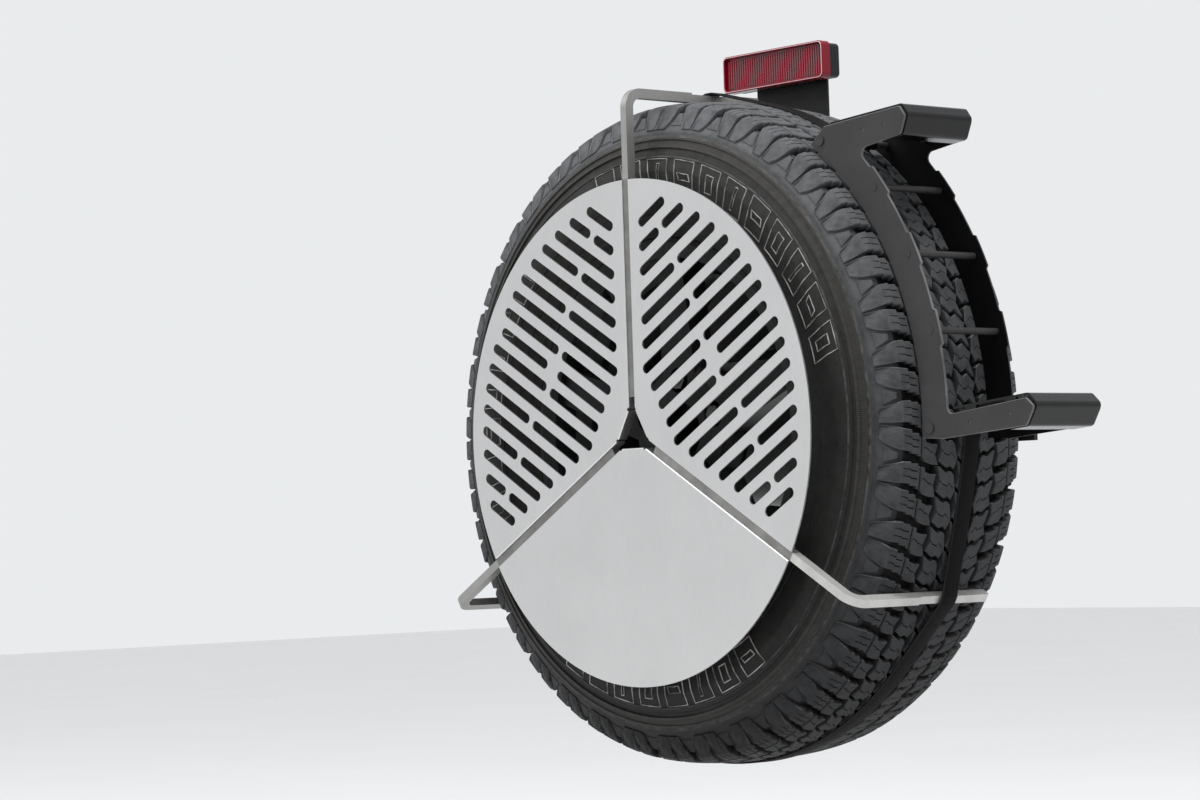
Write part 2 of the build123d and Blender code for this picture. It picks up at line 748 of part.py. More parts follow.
class Band:
    """Flat strap drawn by its inner and its outer edge, walked by angle."""

    def __init__(self):
        self.inner = []
        self.outer = []
        self.last = None

    def go(self, inner, outer):
        if self.last is not None:
            self.inner.append(Line(self.last[0], inner))
            self.outer.append(Line(self.last[1], outer))
        self.last = (inner, outer)

    def ride(self, start, end):
        """Follow the tread between two angles."""
        middle = (start + end) / 2.0
        out_r = STRAP_IN_R + STRAP_T
        self.go(at_angle(STRAP_IN_R, start), at_angle(out_r, start))
        inner_end = at_angle(STRAP_IN_R, end)
        outer_end = at_angle(out_r, end)
        self.inner.append(ThreePointArc(self.last[0], at_angle(STRAP_IN_R, middle), inner_end))
        self.outer.append(ThreePointArc(self.last[1], at_angle(out_r, middle), outer_end))
        self.last = (inner_end, outer_end)

    def corner(self, point, first, second):
        """Turn at a point, between two faces with these outward directions."""
        n1 = at_angle(1.0, first)
        n2 = at_angle(1.0, second)
        share = STRAP_T / (1.0 + n1[0] * n2[0] + n1[1] * n2[1])
        self.go(point, (point[0] + (n1[0] + n2[0]) * share, point[1] + (n1[1] + n2[1]) * share))

    def over_leg(self, angle, way):
        """Cross a leg, walking towards larger (1) or smaller (-1) angles."""
        half = LEG_W / 2.0
        reach = math.hypot(STRAP_LEG_R, half)
        lean = math.degrees(math.acos(STRAP_IN_R / reach)) + math.degrees(math.atan2(half, STRAP_LEG_R))
        off = math.degrees(math.atan2(half, STRAP_LEG_R))
        self.corner(at_angle(reach, angle - way * off), angle - way * lean, angle)
        self.corner(at_angle(reach, angle + way * off), angle, angle + way * lean)
        return lean

    def solid(self):
        start = Line(self.inner[0] @ 0, self.outer[0] @ 0)
        end = Line(self.inner[-1] @ 1, self.outer[-1] @ 1)
        face = make_face(self.inner + self.outer + [start, end])
        return slab(face, MID_Y - STRAP_W / 2.0, MID_Y + STRAP_W / 2.0)


def leg_lean():
    half = LEG_W / 2.0
    reach = math.hypot(STRAP_LEG_R, half)
    return math.degrees(math.acos(STRAP_IN_R / reach)) + math.degrees(math.atan2(half, STRAP_LEG_R))


def eye(centre, radius):
    """Loop of strap sewn round a pin."""
    x, z = centre
    ring = Pos(x, z) * (Circle(radius + STRAP_T) - Circle(radius))
    return slab(ring, MID_Y - STRAP_W / 2.0, MID_Y + STRAP_W / 2.0)


def ratchet_world(x, height):
    """Point of the ratchet's own frame, in the XZ plane of the wheel."""
    turn = math.radians(90.0 - RATCHET_AT)
    z = TYRE_R + height
    return (x * math.cos(turn) + z * math.sin(turn), -x * math.sin(turn) + z * math.cos(turn))


def tangent_turn(reach, radius):
    return math.degrees(math.acos((STRAP_IN_R + radius) / reach))


def strap_upper():
    """From the step bracket's upper pin, over the top leg, to the ratchet."""
    lean = leg_lean()
    loop = PIN_R + 0.2
    band = Band()
    touch = PIN_UP + tangent_turn(PIN_AT_R, loop + STRAP_T)
    pin = at_angle(PIN_AT_R, PIN_UP)
    n = at_angle(1.0, touch)
    far = loop + STRAP_T
    band.go((pin[0] - far * n[0], pin[1] - far * n[1]), (pin[0] - loop * n[0], pin[1] - loop * n[1]))
    band.ride(touch, 90.0 - lean)
    band.over_leg(90.0, 1)
    bolt = ratchet_world(ANCHOR_X, ANCHOR_N)
    reach = math.hypot(bolt[0], bolt[1])
    bearing = math.degrees(math.atan2(bolt[1], bolt[0]))
    loop_b = 3.5 + 0.2
    leave = bearing - tangent_turn(reach, loop_b + STRAP_T)
    band.ride(90.0 + lean, leave)
    n = at_angle(1.0, leave)
    far = loop_b + STRAP_T
    band.go((bolt[0] - far * n[0], bolt[1] - far * n[1]), (bolt[0] - loop_b * n[0], bolt[1] - loop_b * n[1]))
    return band.solid() + eye(pin, loop) + eye(bolt, loop_b)


def strap_lower():
    """From the lower pin, round the bottom and two legs, to the spool."""
    lean = leg_lean()
    loop = PIN_R + 0.2
    band = Band()
    start = 360.0 + PIN_LOW
    touch = start - tangent_turn(PIN_AT_R, loop + STRAP_T)
    pin = at_angle(PIN_AT_R, PIN_LOW)
    n = at_angle(1.0, touch)
    far = loop + STRAP_T
    band.go((pin[0] - far * n[0], pin[1] - far * n[1]), (pin[0] - loop * n[0], pin[1] - loop * n[1]))
    if touch > 330.0 + lean + 0.2:
        band.ride(touch, 330.0 + lean)
    band.over_leg(330.0, -1)
    band.ride(330.0 - lean, 210.0 + lean)
    band.over_leg(210.0, -1)
    spool = ratchet_world(SPOOL_X, SPOOL_N)
    reach = math.hypot(spool[0], spool[1])
    bearing = math.degrees(math.atan2(spool[1], spool[0]))
    clear = 0.25
    leave = bearing + tangent_turn(reach, ROLL_R + STRAP_T + clear)
    band.ride(210.0 - lean, leave)
    n = at_angle(1.0, leave)
    near = ROLL_R + clear
    far = near + STRAP_T
    band.go((spool[0] - far * n[0], spool[1] - far * n[1]), (spool[0] - near * n[0], spool[1] - near * n[1]))
    return band.solid() + eye(pin, loop)


# ---- ratchet, made at the top of the wheel and then turned to its place -----


def ratchet_frame():
    face = outline(
        on_tread(-34.0, 3.0), on_tread(-34.0, 22.0), on_tread(-28.0, 29.0), on_tread(-12.0, 29.0),
        on_tread(-2.0, 21.0), on_tread(34.0, 15.0), on_tread(49.0, 12.0), on_tread(49.0, 2.0),
        on_tread(40.0, 1.0), on_tread(-20.0, 1.5),
    )
    face -= Pos(*on_tread(SPOOL_X, SPOOL_N)) * Circle(6.05)
    face -= Pos(*on_tread(ANCHOR_X, ANCHOR_N)) * Circle(3.5)
    sides = both_sides(face, 19.0, 21.0)
    sides -= bar_along(LOCK_DIR, 21.9, 39.3, 2.5, MID_Y - 30.0, MID_Y + 30.0)
    base = slab(Pos(*on_tread(27.0, 2.2)) * Rectangle(16.0, 1.8), MID_Y - 19.0, MID_Y + 19.0)
    return round_to(RATCHET_AT, sides + base)


def ratchet_anchor():
    x, z = on_tread(ANCHOR_X, ANCHOR_N)
    bolt = rod(x, z, 3.5, MID_Y - 21.0, MID_Y + 21.0)
    bolt += rod(x, z, 5.5, MID_Y - 23.0, MID_Y - 21.0)
    bolt += rod(x, z, 5.5, MID_Y + 21.0, MID_Y + 23.0)
    return round_to(RATCHET_AT, bolt)


def toothed_face():
    points = []
    for i in range(12):
        mid = DRIVE_DIR + 30.0 * i
        points.append(along(mid, ROOT_R, -1.7))
        points.append(along(mid, ROOT_R, 1.7))
        points.append(along(mid + 12.0, TIP_R))
        points.append(along(mid + 18.0, TIP_R))
    return outline(*points)


def ratchet_spool():
    x, z = on_tread(SPOOL_X, SPOOL_N)
    shaft = rod(x, z, 7.0, MID_Y - 15.6, MID_Y + 15.6)
    shaft -= bar_along(90.0, -8.0, 8.0, 2.4, MID_Y - 12.8, MID_Y + 12.8)
    body = shaft + both_sides(toothed_face(), 15.6, 18.6)
    body += rod(x, z, 6.0, MID_Y - 23.0, MID_Y + 23.0) - rod(x, z, 6.5, MID_Y - 15.6, MID_Y + 15.6)
    body += rod(x, z, 8.0, MID_Y - 23.5, MID_Y - 21.4)
    body += rod(x, z, 8.0, MID_Y + 21.4, MID_Y + 23.5)
    return round_to(RATCHET_AT, body)


def strap_roll():
    x, z = on_tread(SPOOL_X, SPOOL_N)
    half = STRAP_W / 2.0
    roll = slab(Pos(x, z) * (Circle(ROLL_R) - Circle(7.05)), MID_Y - half, MID_Y + half)
    roll += bar_along(90.0, -7.5, 7.5, STRAP_T, MID_Y - half, MID_Y + half)
    return round_to(RATCHET_AT, roll)


def ratchet_handle():
    blade = outline(
        on_tread(-20.0, 29.0), on_tread(70.0, 36.0), on_tread(76.0, 33.0), on_tread(76.0, 27.0),
        on_tread(70.0, 24.0), on_tread(10.0, 17.5), on_tread(-9.0, 14.5), on_tread(-20.0, 17.0),
    )
    blade += Pos(*on_tread(SPOOL_X, SPOOL_N)) * Circle(12.0)
    blade -= Pos(*on_tread(SPOOL_X, SPOOL_N)) * Circle(7.05)
    blade -= Pos(*on_tread(69.0, 28.8)) * Circle(3.05)
    sides = both_sides(blade, 13.2, 15.2)
    sides -= bar_along(DRIVE_DIR, 15.9, 29.3, 2.5, MID_Y - 16.0, MID_Y + 16.0)
    cross = outline(on_tread(48.0, 34.2), on_tread(70.0, 35.9), on_tread(70.0, 33.9), on_tread(48.0, 32.2))
    web = slab(cross, MID_Y - 13.2, MID_Y + 13.2)
    return round_to(RATCHET_AT, sides + web)


def handle_grip():
    x, z = on_tread(69.0, 28.8)
    grip = rod(x, z, 4.6, MID_Y - 13.15, MID_Y + 13.15) + rod(x, z, 3.0, MID_Y - 24.0, MID_Y + 24.0)
    for side in (-1.0, 1.0):
        near = MID_Y + side * 15.25
        far = MID_Y + side * 24.0
        grip += rod(x, z, 5.2, min(near, far), max(near, far))
    return round_to(RATCHET_AT, grip)


def drive_pawl():
    plate = bar_along(DRIVE_DIR, 16.2, 24.0, 2.4, MID_Y - 18.5, MID_Y + 18.5)
    plate += bar_along(DRIVE_DIR, 24.0, 56.0, 2.4, MID_Y - 11.0, MID_Y + 11.0)
    for side in (-1.0, 1.0):
        near = MID_Y + side * 15.65
        far = MID_Y + side * 18.5
        plate += bar_along(DRIVE_DIR, ROOT_R + 0.4, 16.4, 2.4, min(near, far), max(near, far))
    plate += bar_along(DRIVE_DIR, 52.0, 56.0, 5.0, MID_Y - 11.0, MID_Y + 11.0)
    return round_to(RATCHET_AT, plate)


def lock_pawl():
    plate = bar_along(LOCK_DIR, 22.0, 36.0, 2.4, MID_Y - 21.5, MID_Y + 21.5)
    plate += bar_along(LOCK_DIR, TIP_R + 0.4, 22.2, 2.4, MID_Y - 18.8, MID_Y + 18.8)
    return round_to(RATCHET_AT, plate)


# ---- build -----------------------------------------------------------------

save(tailgate_plate(), "tailgate_plate")
save(standoff_cone(), "standoff_cone")
save(standoff_ribs(), "standoff_ribs")
save(wheel_plate(), "wheel_plate")
save(wheel_studs(), "wheel_studs")
save(lug_nuts(), "lug_nuts")
save(stop_arms(), "stop_arms")
save(stop_pads(), "stop_pads")
save(lamp_stalk(), "lamp_stalk")
save(stalk_bolts(), "stalk_bolts")
save(lamp_housing(), "lamp_housing")
save(lamp_frame(), "lamp_frame")
save(lamp_lens(), "lamp_lens")
save(lamp_board(), "lamp_board")
save(rim_barrel(), "rim_barrel")
save(rim_spokes(), "rim_spokes")
save(valve_stem(), "valve_stem")
save(tyre(), "tyre")
save(round_to(90.0, leg()), "leg_top")
save(round_to(210.0, leg()), "leg_left")
save(round_to(330.0, leg()), "leg_right")
save(round_to(150.0, panel(True)), "panel_left")
save(round_to(30.0, panel(True)), "panel_right")
save(round_to(270.0, panel(False)), "panel_lower")
save(leg_screws(), "leg_screws")
save(step_plate(STEP_FRONT, STEP_FRONT, 1.0), "step_plate_front")
save(step_plate(STEP_REAR - STEP_T, STEP_REAR, -1.0), "step_plate_rear")
save(step_tread("upper"), "step_upper")
save(step_tread("lower"), "step_lower")
save(step_rods(), "step_rods")
save(step_bolts(), "step_bolts")
save(strap_pins(), "strap_pins")
save(strap_upper(), "strap_upper")
save(strap_lower(), "strap_lower")
save(ratchet_frame(), "ratchet_frame")
save(ratchet_anchor(), "ratchet_anchor")
save(ratchet_spool(), "ratchet_spool")
save(strap_roll(), "strap_roll")
save(ratchet_handle(), "ratchet_handle")
save(handle_grip(), "handle_grip")
save(drive_pawl(), "drive_pawl")
save(lock_pawl(), "lock_pawl")
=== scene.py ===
"""Looks of a spare wheel on its tailgate carrier.

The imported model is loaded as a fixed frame. Around it this script builds the tyre with
its tread, the lashing strap, the brake lamp and the studio, and dresses every CAD node.
Lengths are metres; the wheel axis is Y, the front faces -Y and +Z is up.
"""

from __future__ import annotations

import json
import logging
import math
from dataclasses import dataclass, field
from enum import Enum
from typing import Iterable, Sequence

import bpy
import numpy as np
from mathutils import Matrix, Vector

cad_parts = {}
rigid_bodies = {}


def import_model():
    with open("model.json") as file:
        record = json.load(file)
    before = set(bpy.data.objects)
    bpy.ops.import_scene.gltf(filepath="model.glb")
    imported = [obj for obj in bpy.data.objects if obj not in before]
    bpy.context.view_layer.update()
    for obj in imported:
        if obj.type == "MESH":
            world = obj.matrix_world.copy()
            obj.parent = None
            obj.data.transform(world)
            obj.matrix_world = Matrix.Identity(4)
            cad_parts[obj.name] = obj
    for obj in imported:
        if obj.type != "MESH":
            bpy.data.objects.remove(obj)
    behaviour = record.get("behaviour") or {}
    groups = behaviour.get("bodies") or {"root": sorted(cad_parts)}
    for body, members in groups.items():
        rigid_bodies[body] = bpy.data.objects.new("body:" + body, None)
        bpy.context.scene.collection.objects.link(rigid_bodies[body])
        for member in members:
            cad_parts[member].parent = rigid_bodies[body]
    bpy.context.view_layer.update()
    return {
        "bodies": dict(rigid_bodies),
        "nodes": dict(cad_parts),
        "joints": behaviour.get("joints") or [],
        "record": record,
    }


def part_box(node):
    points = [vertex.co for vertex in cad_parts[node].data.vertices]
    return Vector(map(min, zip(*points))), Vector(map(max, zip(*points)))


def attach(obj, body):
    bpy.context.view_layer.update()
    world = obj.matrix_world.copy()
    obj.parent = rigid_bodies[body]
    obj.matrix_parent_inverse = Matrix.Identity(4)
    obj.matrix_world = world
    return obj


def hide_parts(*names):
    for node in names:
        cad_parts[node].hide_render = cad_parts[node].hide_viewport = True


LOG = logging.getLogger("spare_wheel")
MM = 0.001
TURN = 2.0 * math.pi

Array = np.ndarray
Colour = tuple[float, float, float]


# ---------------------------------------------------------------------------
# Shader helpers
# ---------------------------------------------------------------------------


class Inks:
    """A material's node tree, with short calls that add and join nodes."""

    def __init__(self, name: str) -> None:
        """Make an empty material with a Principled shader.

        Args:
            name: name of the material.
        """
        self.material = bpy.data.materials.new(name)
        self.material.use_nodes = True
        self.nodes = self.material.node_tree.nodes
        self.links = self.material.node_tree.links
        self.nodes.clear()
        self.output = self.nodes.new("ShaderNodeOutputMaterial")
        self.shader = self.nodes.new("ShaderNodeBsdfPrincipled")
        self.links.new(self.shader.outputs[0], self.output.inputs[0])

    def set(self, **values: float) -> None:
        """Set plain numbers on the shader; underscores in a name stand for spaces."""
        for key, value in values.items():
            self.shader.inputs[key.replace("_", " ")].default_value = value

    def add(self, kind: str, **settings: object) -> bpy.types.Node:
        """Add a node and set its properties.

        Args:
            kind: node type without the ShaderNode prefix.
            settings: node properties by name.

        Returns:
            The new node.
        """
        node = self.nodes.new("ShaderNode" + kind)
        for key, value in settings.items():
            setattr(node, key, value)
        return node

    def join(self, source: object, target: object) -> None:
        """Link one socket to another, or give the target a constant."""
        if isinstance(source, bpy.types.NodeSocket):
            self.links.new(source, target)
        else:
            target.default_value = source

    def math(self, operation: str, a: object, b: object = 0.0, c: object = 0.0) -> object:
        """Return the output of a Math node."""
        node = self.add("Math", operation=operation)
        for value, socket in zip((a, b, c), node.inputs):
            self.join(value, socket)
        return node.outputs[0]

    def line(self, value: object, slope: float, base: float) -> object:
        """Return value * slope + base."""
        return self.math("MULTIPLY_ADD", value, slope, base)

    def times(self, a: object, b: object) -> object:
        """Return a * b."""
        return self.math("MULTIPLY", a, b)

    def between(self, value: object, low: float, high: float) -> object:
        """Return 1 where a value lies between two limits and 0 elsewhere."""
        return self.times(self.math("GREATER_THAN", value, low), self.math("LESS_THAN", value, high))

    def span(self, value: object, low: float, high: float) -> object:
        """Return a share that runs from 0 at low to 1 at high."""
        clamp = self.add("Clamp")
        self.join(self.times(self.math("SUBTRACT", value, low), 1.0 / (high - low)), clamp.inputs[0])
        return clamp.outputs[0]

    def place(self) -> object:
        """Return the Object coordinates."""
        return self.add("TexCoord").outputs["Object"]

    def axes(self, vector: object) -> tuple[object, object, object]:
        """Return a vector's three parts."""
        node = self.add("SeparateXYZ")
        self.join(vector, node.inputs[0])
        return tuple(node.outputs)

    def scaled(self, vector: object, scale: Sequence[float]) -> object:
        """Return coordinates stretched by a scale for each axis."""
        node = self.add("Mapping")
        self.join(vector, node.inputs["Vector"])
        node.inputs["Scale"].default_value = scale
        return node.outputs[0]

    def noise(self, vector: object, scale: float, detail: float = 3.0, rough: float = 0.55) -> object:
        """Return the grey value of a noise texture."""
        node = self.add("TexNoise")
        self.join(vector, node.inputs["Vector"])
        node.inputs["Scale"].default_value = scale
        node.inputs["Detail"].default_value = detail
        node.inputs["Roughness"].default_value = rough
        return node.outputs["Fac"]

    def ramp(self, value: object, stops: Sequence[tuple[float, Colour | float]]) -> object:
        """Return a colour ramp of a value.

        Args:
            value: socket that drives the ramp.
            stops: position and colour, or grey, of each stop.

        Returns:
            The ramp's colour socket.
        """
        node = self.add("ValToRGB")
        self.join(value, node.inputs[0])
        elements = node.color_ramp.elements
        while len(elements) < len(stops):
            elements.new(0.5)
        for element, (position, colour) in zip(elements, stops):
            element.position = position
            shade = (colour,) * 3 if isinstance(colour, float) else colour
            element.color = (*shade, 1.0)
        return node.outputs["Color"]

    def mix(self, share: object, a: object, b: object, blend: str = "MIX") -> object:
        """Return a mix of two colours."""
        node = self.add("Mix", data_type="RGBA", blend_type=blend)
        self.join(share, node.inputs[0])
        for value, socket in ((a, node.inputs[6]), (b, node.inputs[7])):
            if isinstance(value, tuple):
                value = (*value, 1.0)
            self.join(value, socket)
        return node.outputs[2]

    def radius(self, vector: object) -> object:
        """Return the distance from the wheel axis."""
        x, _, z = self.axes(vector)
        return self.math("SQRT", self.math("ADD", self.times(x, x), self.times(z, z)))

    def bump(self, height: object, strength: float, distance: float, below: object = None) -> object:
        """Join a height to the shader's normal and return the bump's output."""
        node = self.add("Bump")
        node.inputs["Strength"].default_value = strength
        node.inputs["Distance"].default_value = distance
        self.join(height, node.inputs["Height"])
        if below is not None:
            self.join(below, node.inputs["Normal"])
        self.links.new(node.outputs[0], self.shader.inputs["Normal"])
        return node.outputs[0]

    def colour(self, source: object) -> None:
        """Join a colour to the shader."""
        if isinstance(source, tuple):
            source = (*source, 1.0)
        self.join(source, self.shader.inputs["Base Color"])

    def rough(self, source: object) -> None:
        """Join a roughness to the shader."""
        self.join(source, self.shader.inputs["Roughness"])


# ---------------------------------------------------------------------------
# Finishes
# ---------------------------------------------------------------------------
# Noise scales are in cells a metre. A relief is a bump's strength and its height in metres.
# Each finish paints an empty material, and its make() returns that material.


class Paint:
    """Base of every finish."""

    def make(self, name: str) -> bpy.types.Material:
        """Return the finish as a material."""
        ink = Inks(name)
        self.paint(ink, ink.place())
        return ink.material

    def paint(self, ink: Inks, place: object) -> None:
        """Paint an empty material; each finish has its own way."""
        raise NotImplementedError


def lit(tone: Colour, factor: float) -> Colour:
    """Return a colour made lighter or darker by a factor."""
    return tuple(min(1.0, c * factor) for c in tone)


@dataclass(frozen=True)
class BrushedSheet(Paint):
    """Stainless sheet with a fine short grain and broad cloudy tone."""

    tone: Colour = (0.60, 0.60, 0.595)
    grain: tuple[float, float, float] = (900.0, 60.0, 60.0)
    grain_share: float = 0.045
    clouds: float = 9.0
    cloud_tones: tuple[float, float] = (0.93, 1.06)
    rough: tuple[float, float] = (0.36, 0.46)
    relief: tuple[float, float] = (0.12, 0.0002)

    def paint(self, ink: Inks, place: object) -> None:
        """Paint the finish on an empty material."""
        grain = ink.noise(ink.scaled(place, self.grain), 1.0, 2.0)
        cloud = ink.noise(place, self.clouds)
        shade = ink.mix(cloud, *(lit(self.tone, factor) for factor in self.cloud_tones))
        ink.colour(ink.mix(self.grain_share, shade, ink.ramp(grain, ((0.3, 0.25), (0.7, 0.8)))))
        low, high = self.rough
        ink.rough(ink.line(grain, high - low, low))
        ink.bump(grain, *self.relief)
        ink.set(Metallic=1.0)


@dataclass(frozen=True)
class MillBar(Paint):
    """Flat bar as it leaves the mill: dull, with darker patches and fine specks.

    Beyond a radius from the wheel axis, where it stands out past the panels, it is painted lighter: painted
    light.
    """

    tone: Colour = (0.235, 0.230, 0.222)
    dark: Colour = (0.15, 0.146, 0.14)
    lit_tone: Colour = (0.34, 0.335, 0.325)
    lit_from: float = 0.306
    metal: float = 0.9
    patches: float = 38.0
    specks: float = 420.0
    rough: tuple[float, float] = (0.36, 0.61)
    relief: tuple[float, float] = (0.25, 0.0003)

    def paint(self, ink: Inks, place: object) -> None:
        """Paint the finish on an empty material."""
        patch = ink.noise(place, self.patches, 5.0, 0.65)
        speck = ink.noise(place, self.specks, 3.0, 0.6)
        plain = ink.mix(ink.ramp(patch, ((0.35, 0.0), (0.7, 1.0))), self.tone, self.dark)
        # Painted light: past a radius from the wheel axis the bar takes a lighter tone.
        light = ink.mix(ink.ramp(patch, ((0.35, 0.0), (0.8, 0.5))), self.lit_tone, self.tone)
        outside = ink.math("GREATER_THAN", ink.radius(place), self.lit_from)
        ink.colour(ink.mix(outside, plain, light))
        low, high = self.rough
        ink.rough(ink.line(speck, high - low, low))
        ink.bump(speck, *self.relief)
        ink.set(Metallic=self.metal)


@dataclass(frozen=True)
class PowderCoat(Paint):
    """Textured powder coat with a faint orange peel, dust, and a painted highlight along its rims, in
    patches.

    The rims are the places whose Y lies inside one of the given spans, in metres.
    """

    tone: Colour = (0.030, 0.030, 0.032)
    dust: Colour = (0.070, 0.070, 0.070)
    rough: float = 0.5
    grit: float = 1400.0
    rims: tuple[tuple[float, float], ...] = ()
    rim_highlight: Colour = (0.16, 0.16, 0.165)
    highlight_mix: float = 0.75
    gloss: float = 0.3
    patches: float = 14.0
    highlight_patches: float = 30.0
    rough_swing: float = 0.08
    relief: tuple[float, float] = (0.35, 0.0004)

    def paint(self, ink: Inks, place: object) -> None:
        """Paint the finish on an empty material."""
        patch = ink.noise(place, self.patches, 4.0, 0.6)
        grit = ink.noise(place, self.grit, 2.0)
        body = ink.mix(ink.ramp(patch, ((0.45, 0.0), (0.85, 0.6))), self.tone, self.dust)
        if self.rims:
            y = ink.axes(place)[1]
            # Painted highlight: the rims are painted lighter, broken up by noise.
            highlight_share = ink.ramp(ink.noise(place, self.highlight_patches), ((0.30, 0.25), (0.65, self.highlight_mix)))
            for low, high in self.rims:
                body = ink.mix(ink.times(ink.between(y, low, high), highlight_share), body, self.rim_highlight)
        ink.colour(body)
        ink.rough(ink.line(grit, 2.0 * self.rough_swing, self.rough - self.rough_swing))
        ink.bump(grit, *self.relief)
        ink.set(Specular_IOR_Level=self.gloss)


@dataclass(frozen=True)
class TyreRubber(Paint):
    """Tyre rubber: block tops and sidewalls painted lighter towards the top, painted light from above, warm
    dark sidewalls, and grooves painted black, painted shade.

    The mesh attribute "sunk" is 1 down in the grooves, where painted shade goes, 0 on the skin and -1 on
    edges, where a painted highlight goes.
    """

    side: Colour = (0.0125, 0.0118, 0.0110)
    # low and high: the tread painted dark at the bottom and light at the top, painted light from above.
    low: Colour = (0.0075, 0.0075, 0.0080)
    high: Colour = (0.100, 0.103, 0.108)
    # deep: near black, the painted shade in the grooves, and the dark of the stains.
    deep: Colour = (0.0006, 0.0006, 0.0006)
    # edge: colour of the painted highlight on block edges and raised rings.
    edge: Colour = (0.24, 0.24, 0.24)
    # side_high: the sidewall's top, painted lighter as painted light from above.
    side_high: Colour = (0.033, 0.0315, 0.030)
    side_heights: tuple[float, float] = (0.0, 0.34)
    heights: tuple[float, float] = (-0.38, 0.40)
    rib_band: tuple[float, float] = (0.3435, 0.3560)
    rib_count: float = 900.0
    # Radius band where the sidewall's colour gives way to the tread's.
    tread_band: tuple[float, float] = (0.357, 0.367)
    clouds: float = 26.0
    blotches: float = 90.0
    specks: float = 700.0
    rough: tuple[float, float] = (0.50, 0.70)
    relief: tuple[float, float] = (0.4, 0.0009)
    gloss: float = 0.16

    def wall(self, ink: Inks, place: object, cloud: object) -> object:
        """Return the sidewall's colour: painted lighter with height as painted light from above, blotched,
        with a ribbed band.
        """
        x, _, z = ink.axes(place)
        # Painted light: the sidewall is painted lighter towards the top.
        tone = ink.mix(ink.span(z, *self.side_heights), self.side, self.side_high)
        tone = ink.mix(ink.ramp(cloud, ((0.45, 0.0), (0.8, 0.35))), tone, lit(self.side, 2.6))
        around = ink.math("ARCTAN2", z, x)
        ribs = ink.line(ink.math("SINE", ink.times(around, self.rib_count)), 0.5, 0.5)
        ribs = ink.times(ribs, ink.between(ink.radius(place), *self.rib_band))
        return ink.mix(ink.times(ribs, 0.7), tone, lit(self.side, 3.6))

    def paint(self, ink: Inks, place: object) -> None:
        """Paint the finish on an empty material."""
        cloud = ink.noise(place, self.clouds, 5.0, 0.62)
        blotch = ink.noise(place, self.blotches, 4.0, 0.6)
        fine = ink.noise(place, self.specks, 3.0, 0.6)
        # Painted light from above: the tread is painted from dark at the bottom to light at the top,
        # unevenly.
        height = ink.times(ink.span(ink.axes(place)[2], *self.heights), ink.line(cloud, 0.7, 0.62))
        tread = ink.mix(height, self.low, self.high)
        body = ink.mix(ink.span(ink.radius(place), *self.tread_band), self.wall(ink, place, cloud), tread)
        stain = ink.ramp(blotch, ((0.42, 0.0), (0.66, 0.5)))
        body = ink.mix(stain, body, ink.mix(0.6, body, self.deep))
        speck = ink.ramp(fine, ((0.55, 0.0), (0.8, 0.35)))
        body = ink.mix(speck, body, lit(self.high, 0.5))
        sunk = ink.add("Attribute", attribute_name="sunk").outputs["Fac"]
        # Painted highlight: block edges and raised rings are painted lighter in patches, more so towards the
        # top.
        highlight_share = ink.times(ink.span(sunk, 0.0, -1.0), ink.ramp(blotch, ((0.38, 0.05), (0.62, 1.0))))
        body = ink.mix(ink.times(highlight_share, ink.line(height, 0.45, 0.35)), body, self.edge)
        # Painted shade: points down in the grooves are painted near black.
        ink.colour(ink.mix(ink.span(sunk, 0.0, 1.0), body, self.deep))
        low, high = self.rough
        ink.rough(ink.line(fine, high - low, low))
        ink.bump(ink.math("MULTIPLY_ADD", blotch, 0.5, fine), *self.relief)
        ink.set(Specular_IOR_Level=self.gloss)


@dataclass(frozen=True)
class HighlightedRubber(Paint):
    """Rubber painted pale on thin raised lines, a painted highlight, duller in patches."""

    tone: Colour = (0.36, 0.35, 0.34)
    highlight_mix: Colour = (0.075, 0.072, 0.070)
    clouds: float = 60.0
    rough: float = 0.7
    relief: tuple[float, float] = (0.2, 0.0004)

    def paint(self, ink: Inks, place: object) -> None:
        """Paint the finish on an empty material."""
        cloud = ink.noise(place, self.clouds, 4.0, 0.6)
        # Painted highlight: the raised lines are pale, with duller patches.
        ink.colour(ink.mix(ink.ramp(cloud, ((0.35, 1.0), (0.62, 0.0))), self.tone, self.highlight_mix))
        ink.rough(self.rough)
        ink.bump(cloud, *self.relief)


@dataclass(frozen=True)
class Webbing(Paint):
    """Woven polyester strap read from its own UV map: u along, v across, in metres."""

    tone: Colour = (0.0035, 0.0030, 0.0033)
    high: Colour = (0.0100, 0.0090, 0.0095)
    selvedge: Colour = (0.030, 0.028, 0.029)
    pick: float = 0.0016
    half: float = 0.0125
    band: float = 0.0011
    hairs: float = 500.0
    rough: float = 0.72
    relief: tuple[float, float] = (0.5, 0.0004)
    gloss: float = 0.07

    def paint(self, ink: Inks, place: object) -> None:
        """Paint the finish. The ribs are the product of two sines."""
        u, v, _ = ink.axes(ink.add("UVMap", uv_map="weave").outputs[0])
        waves = (ink.math("SINE", ink.times(way, TURN / self.pick)) for way in (u, v))
        ribs = ink.line(ink.times(*waves), 0.5, 0.5)
        fuzz = ink.noise(place, self.hairs)
        body = ink.mix(ink.times(ribs, fuzz), self.tone, self.high)
        rim = ink.math("GREATER_THAN", ink.math("ABSOLUTE", v), self.half - self.band)
        ink.colour(ink.mix(ink.times(rim, fuzz), body, self.selvedge))
        ink.rough(self.rough)
        ink.bump(ribs, *self.relief)
        ink.set(Specular_IOR_Level=self.gloss)


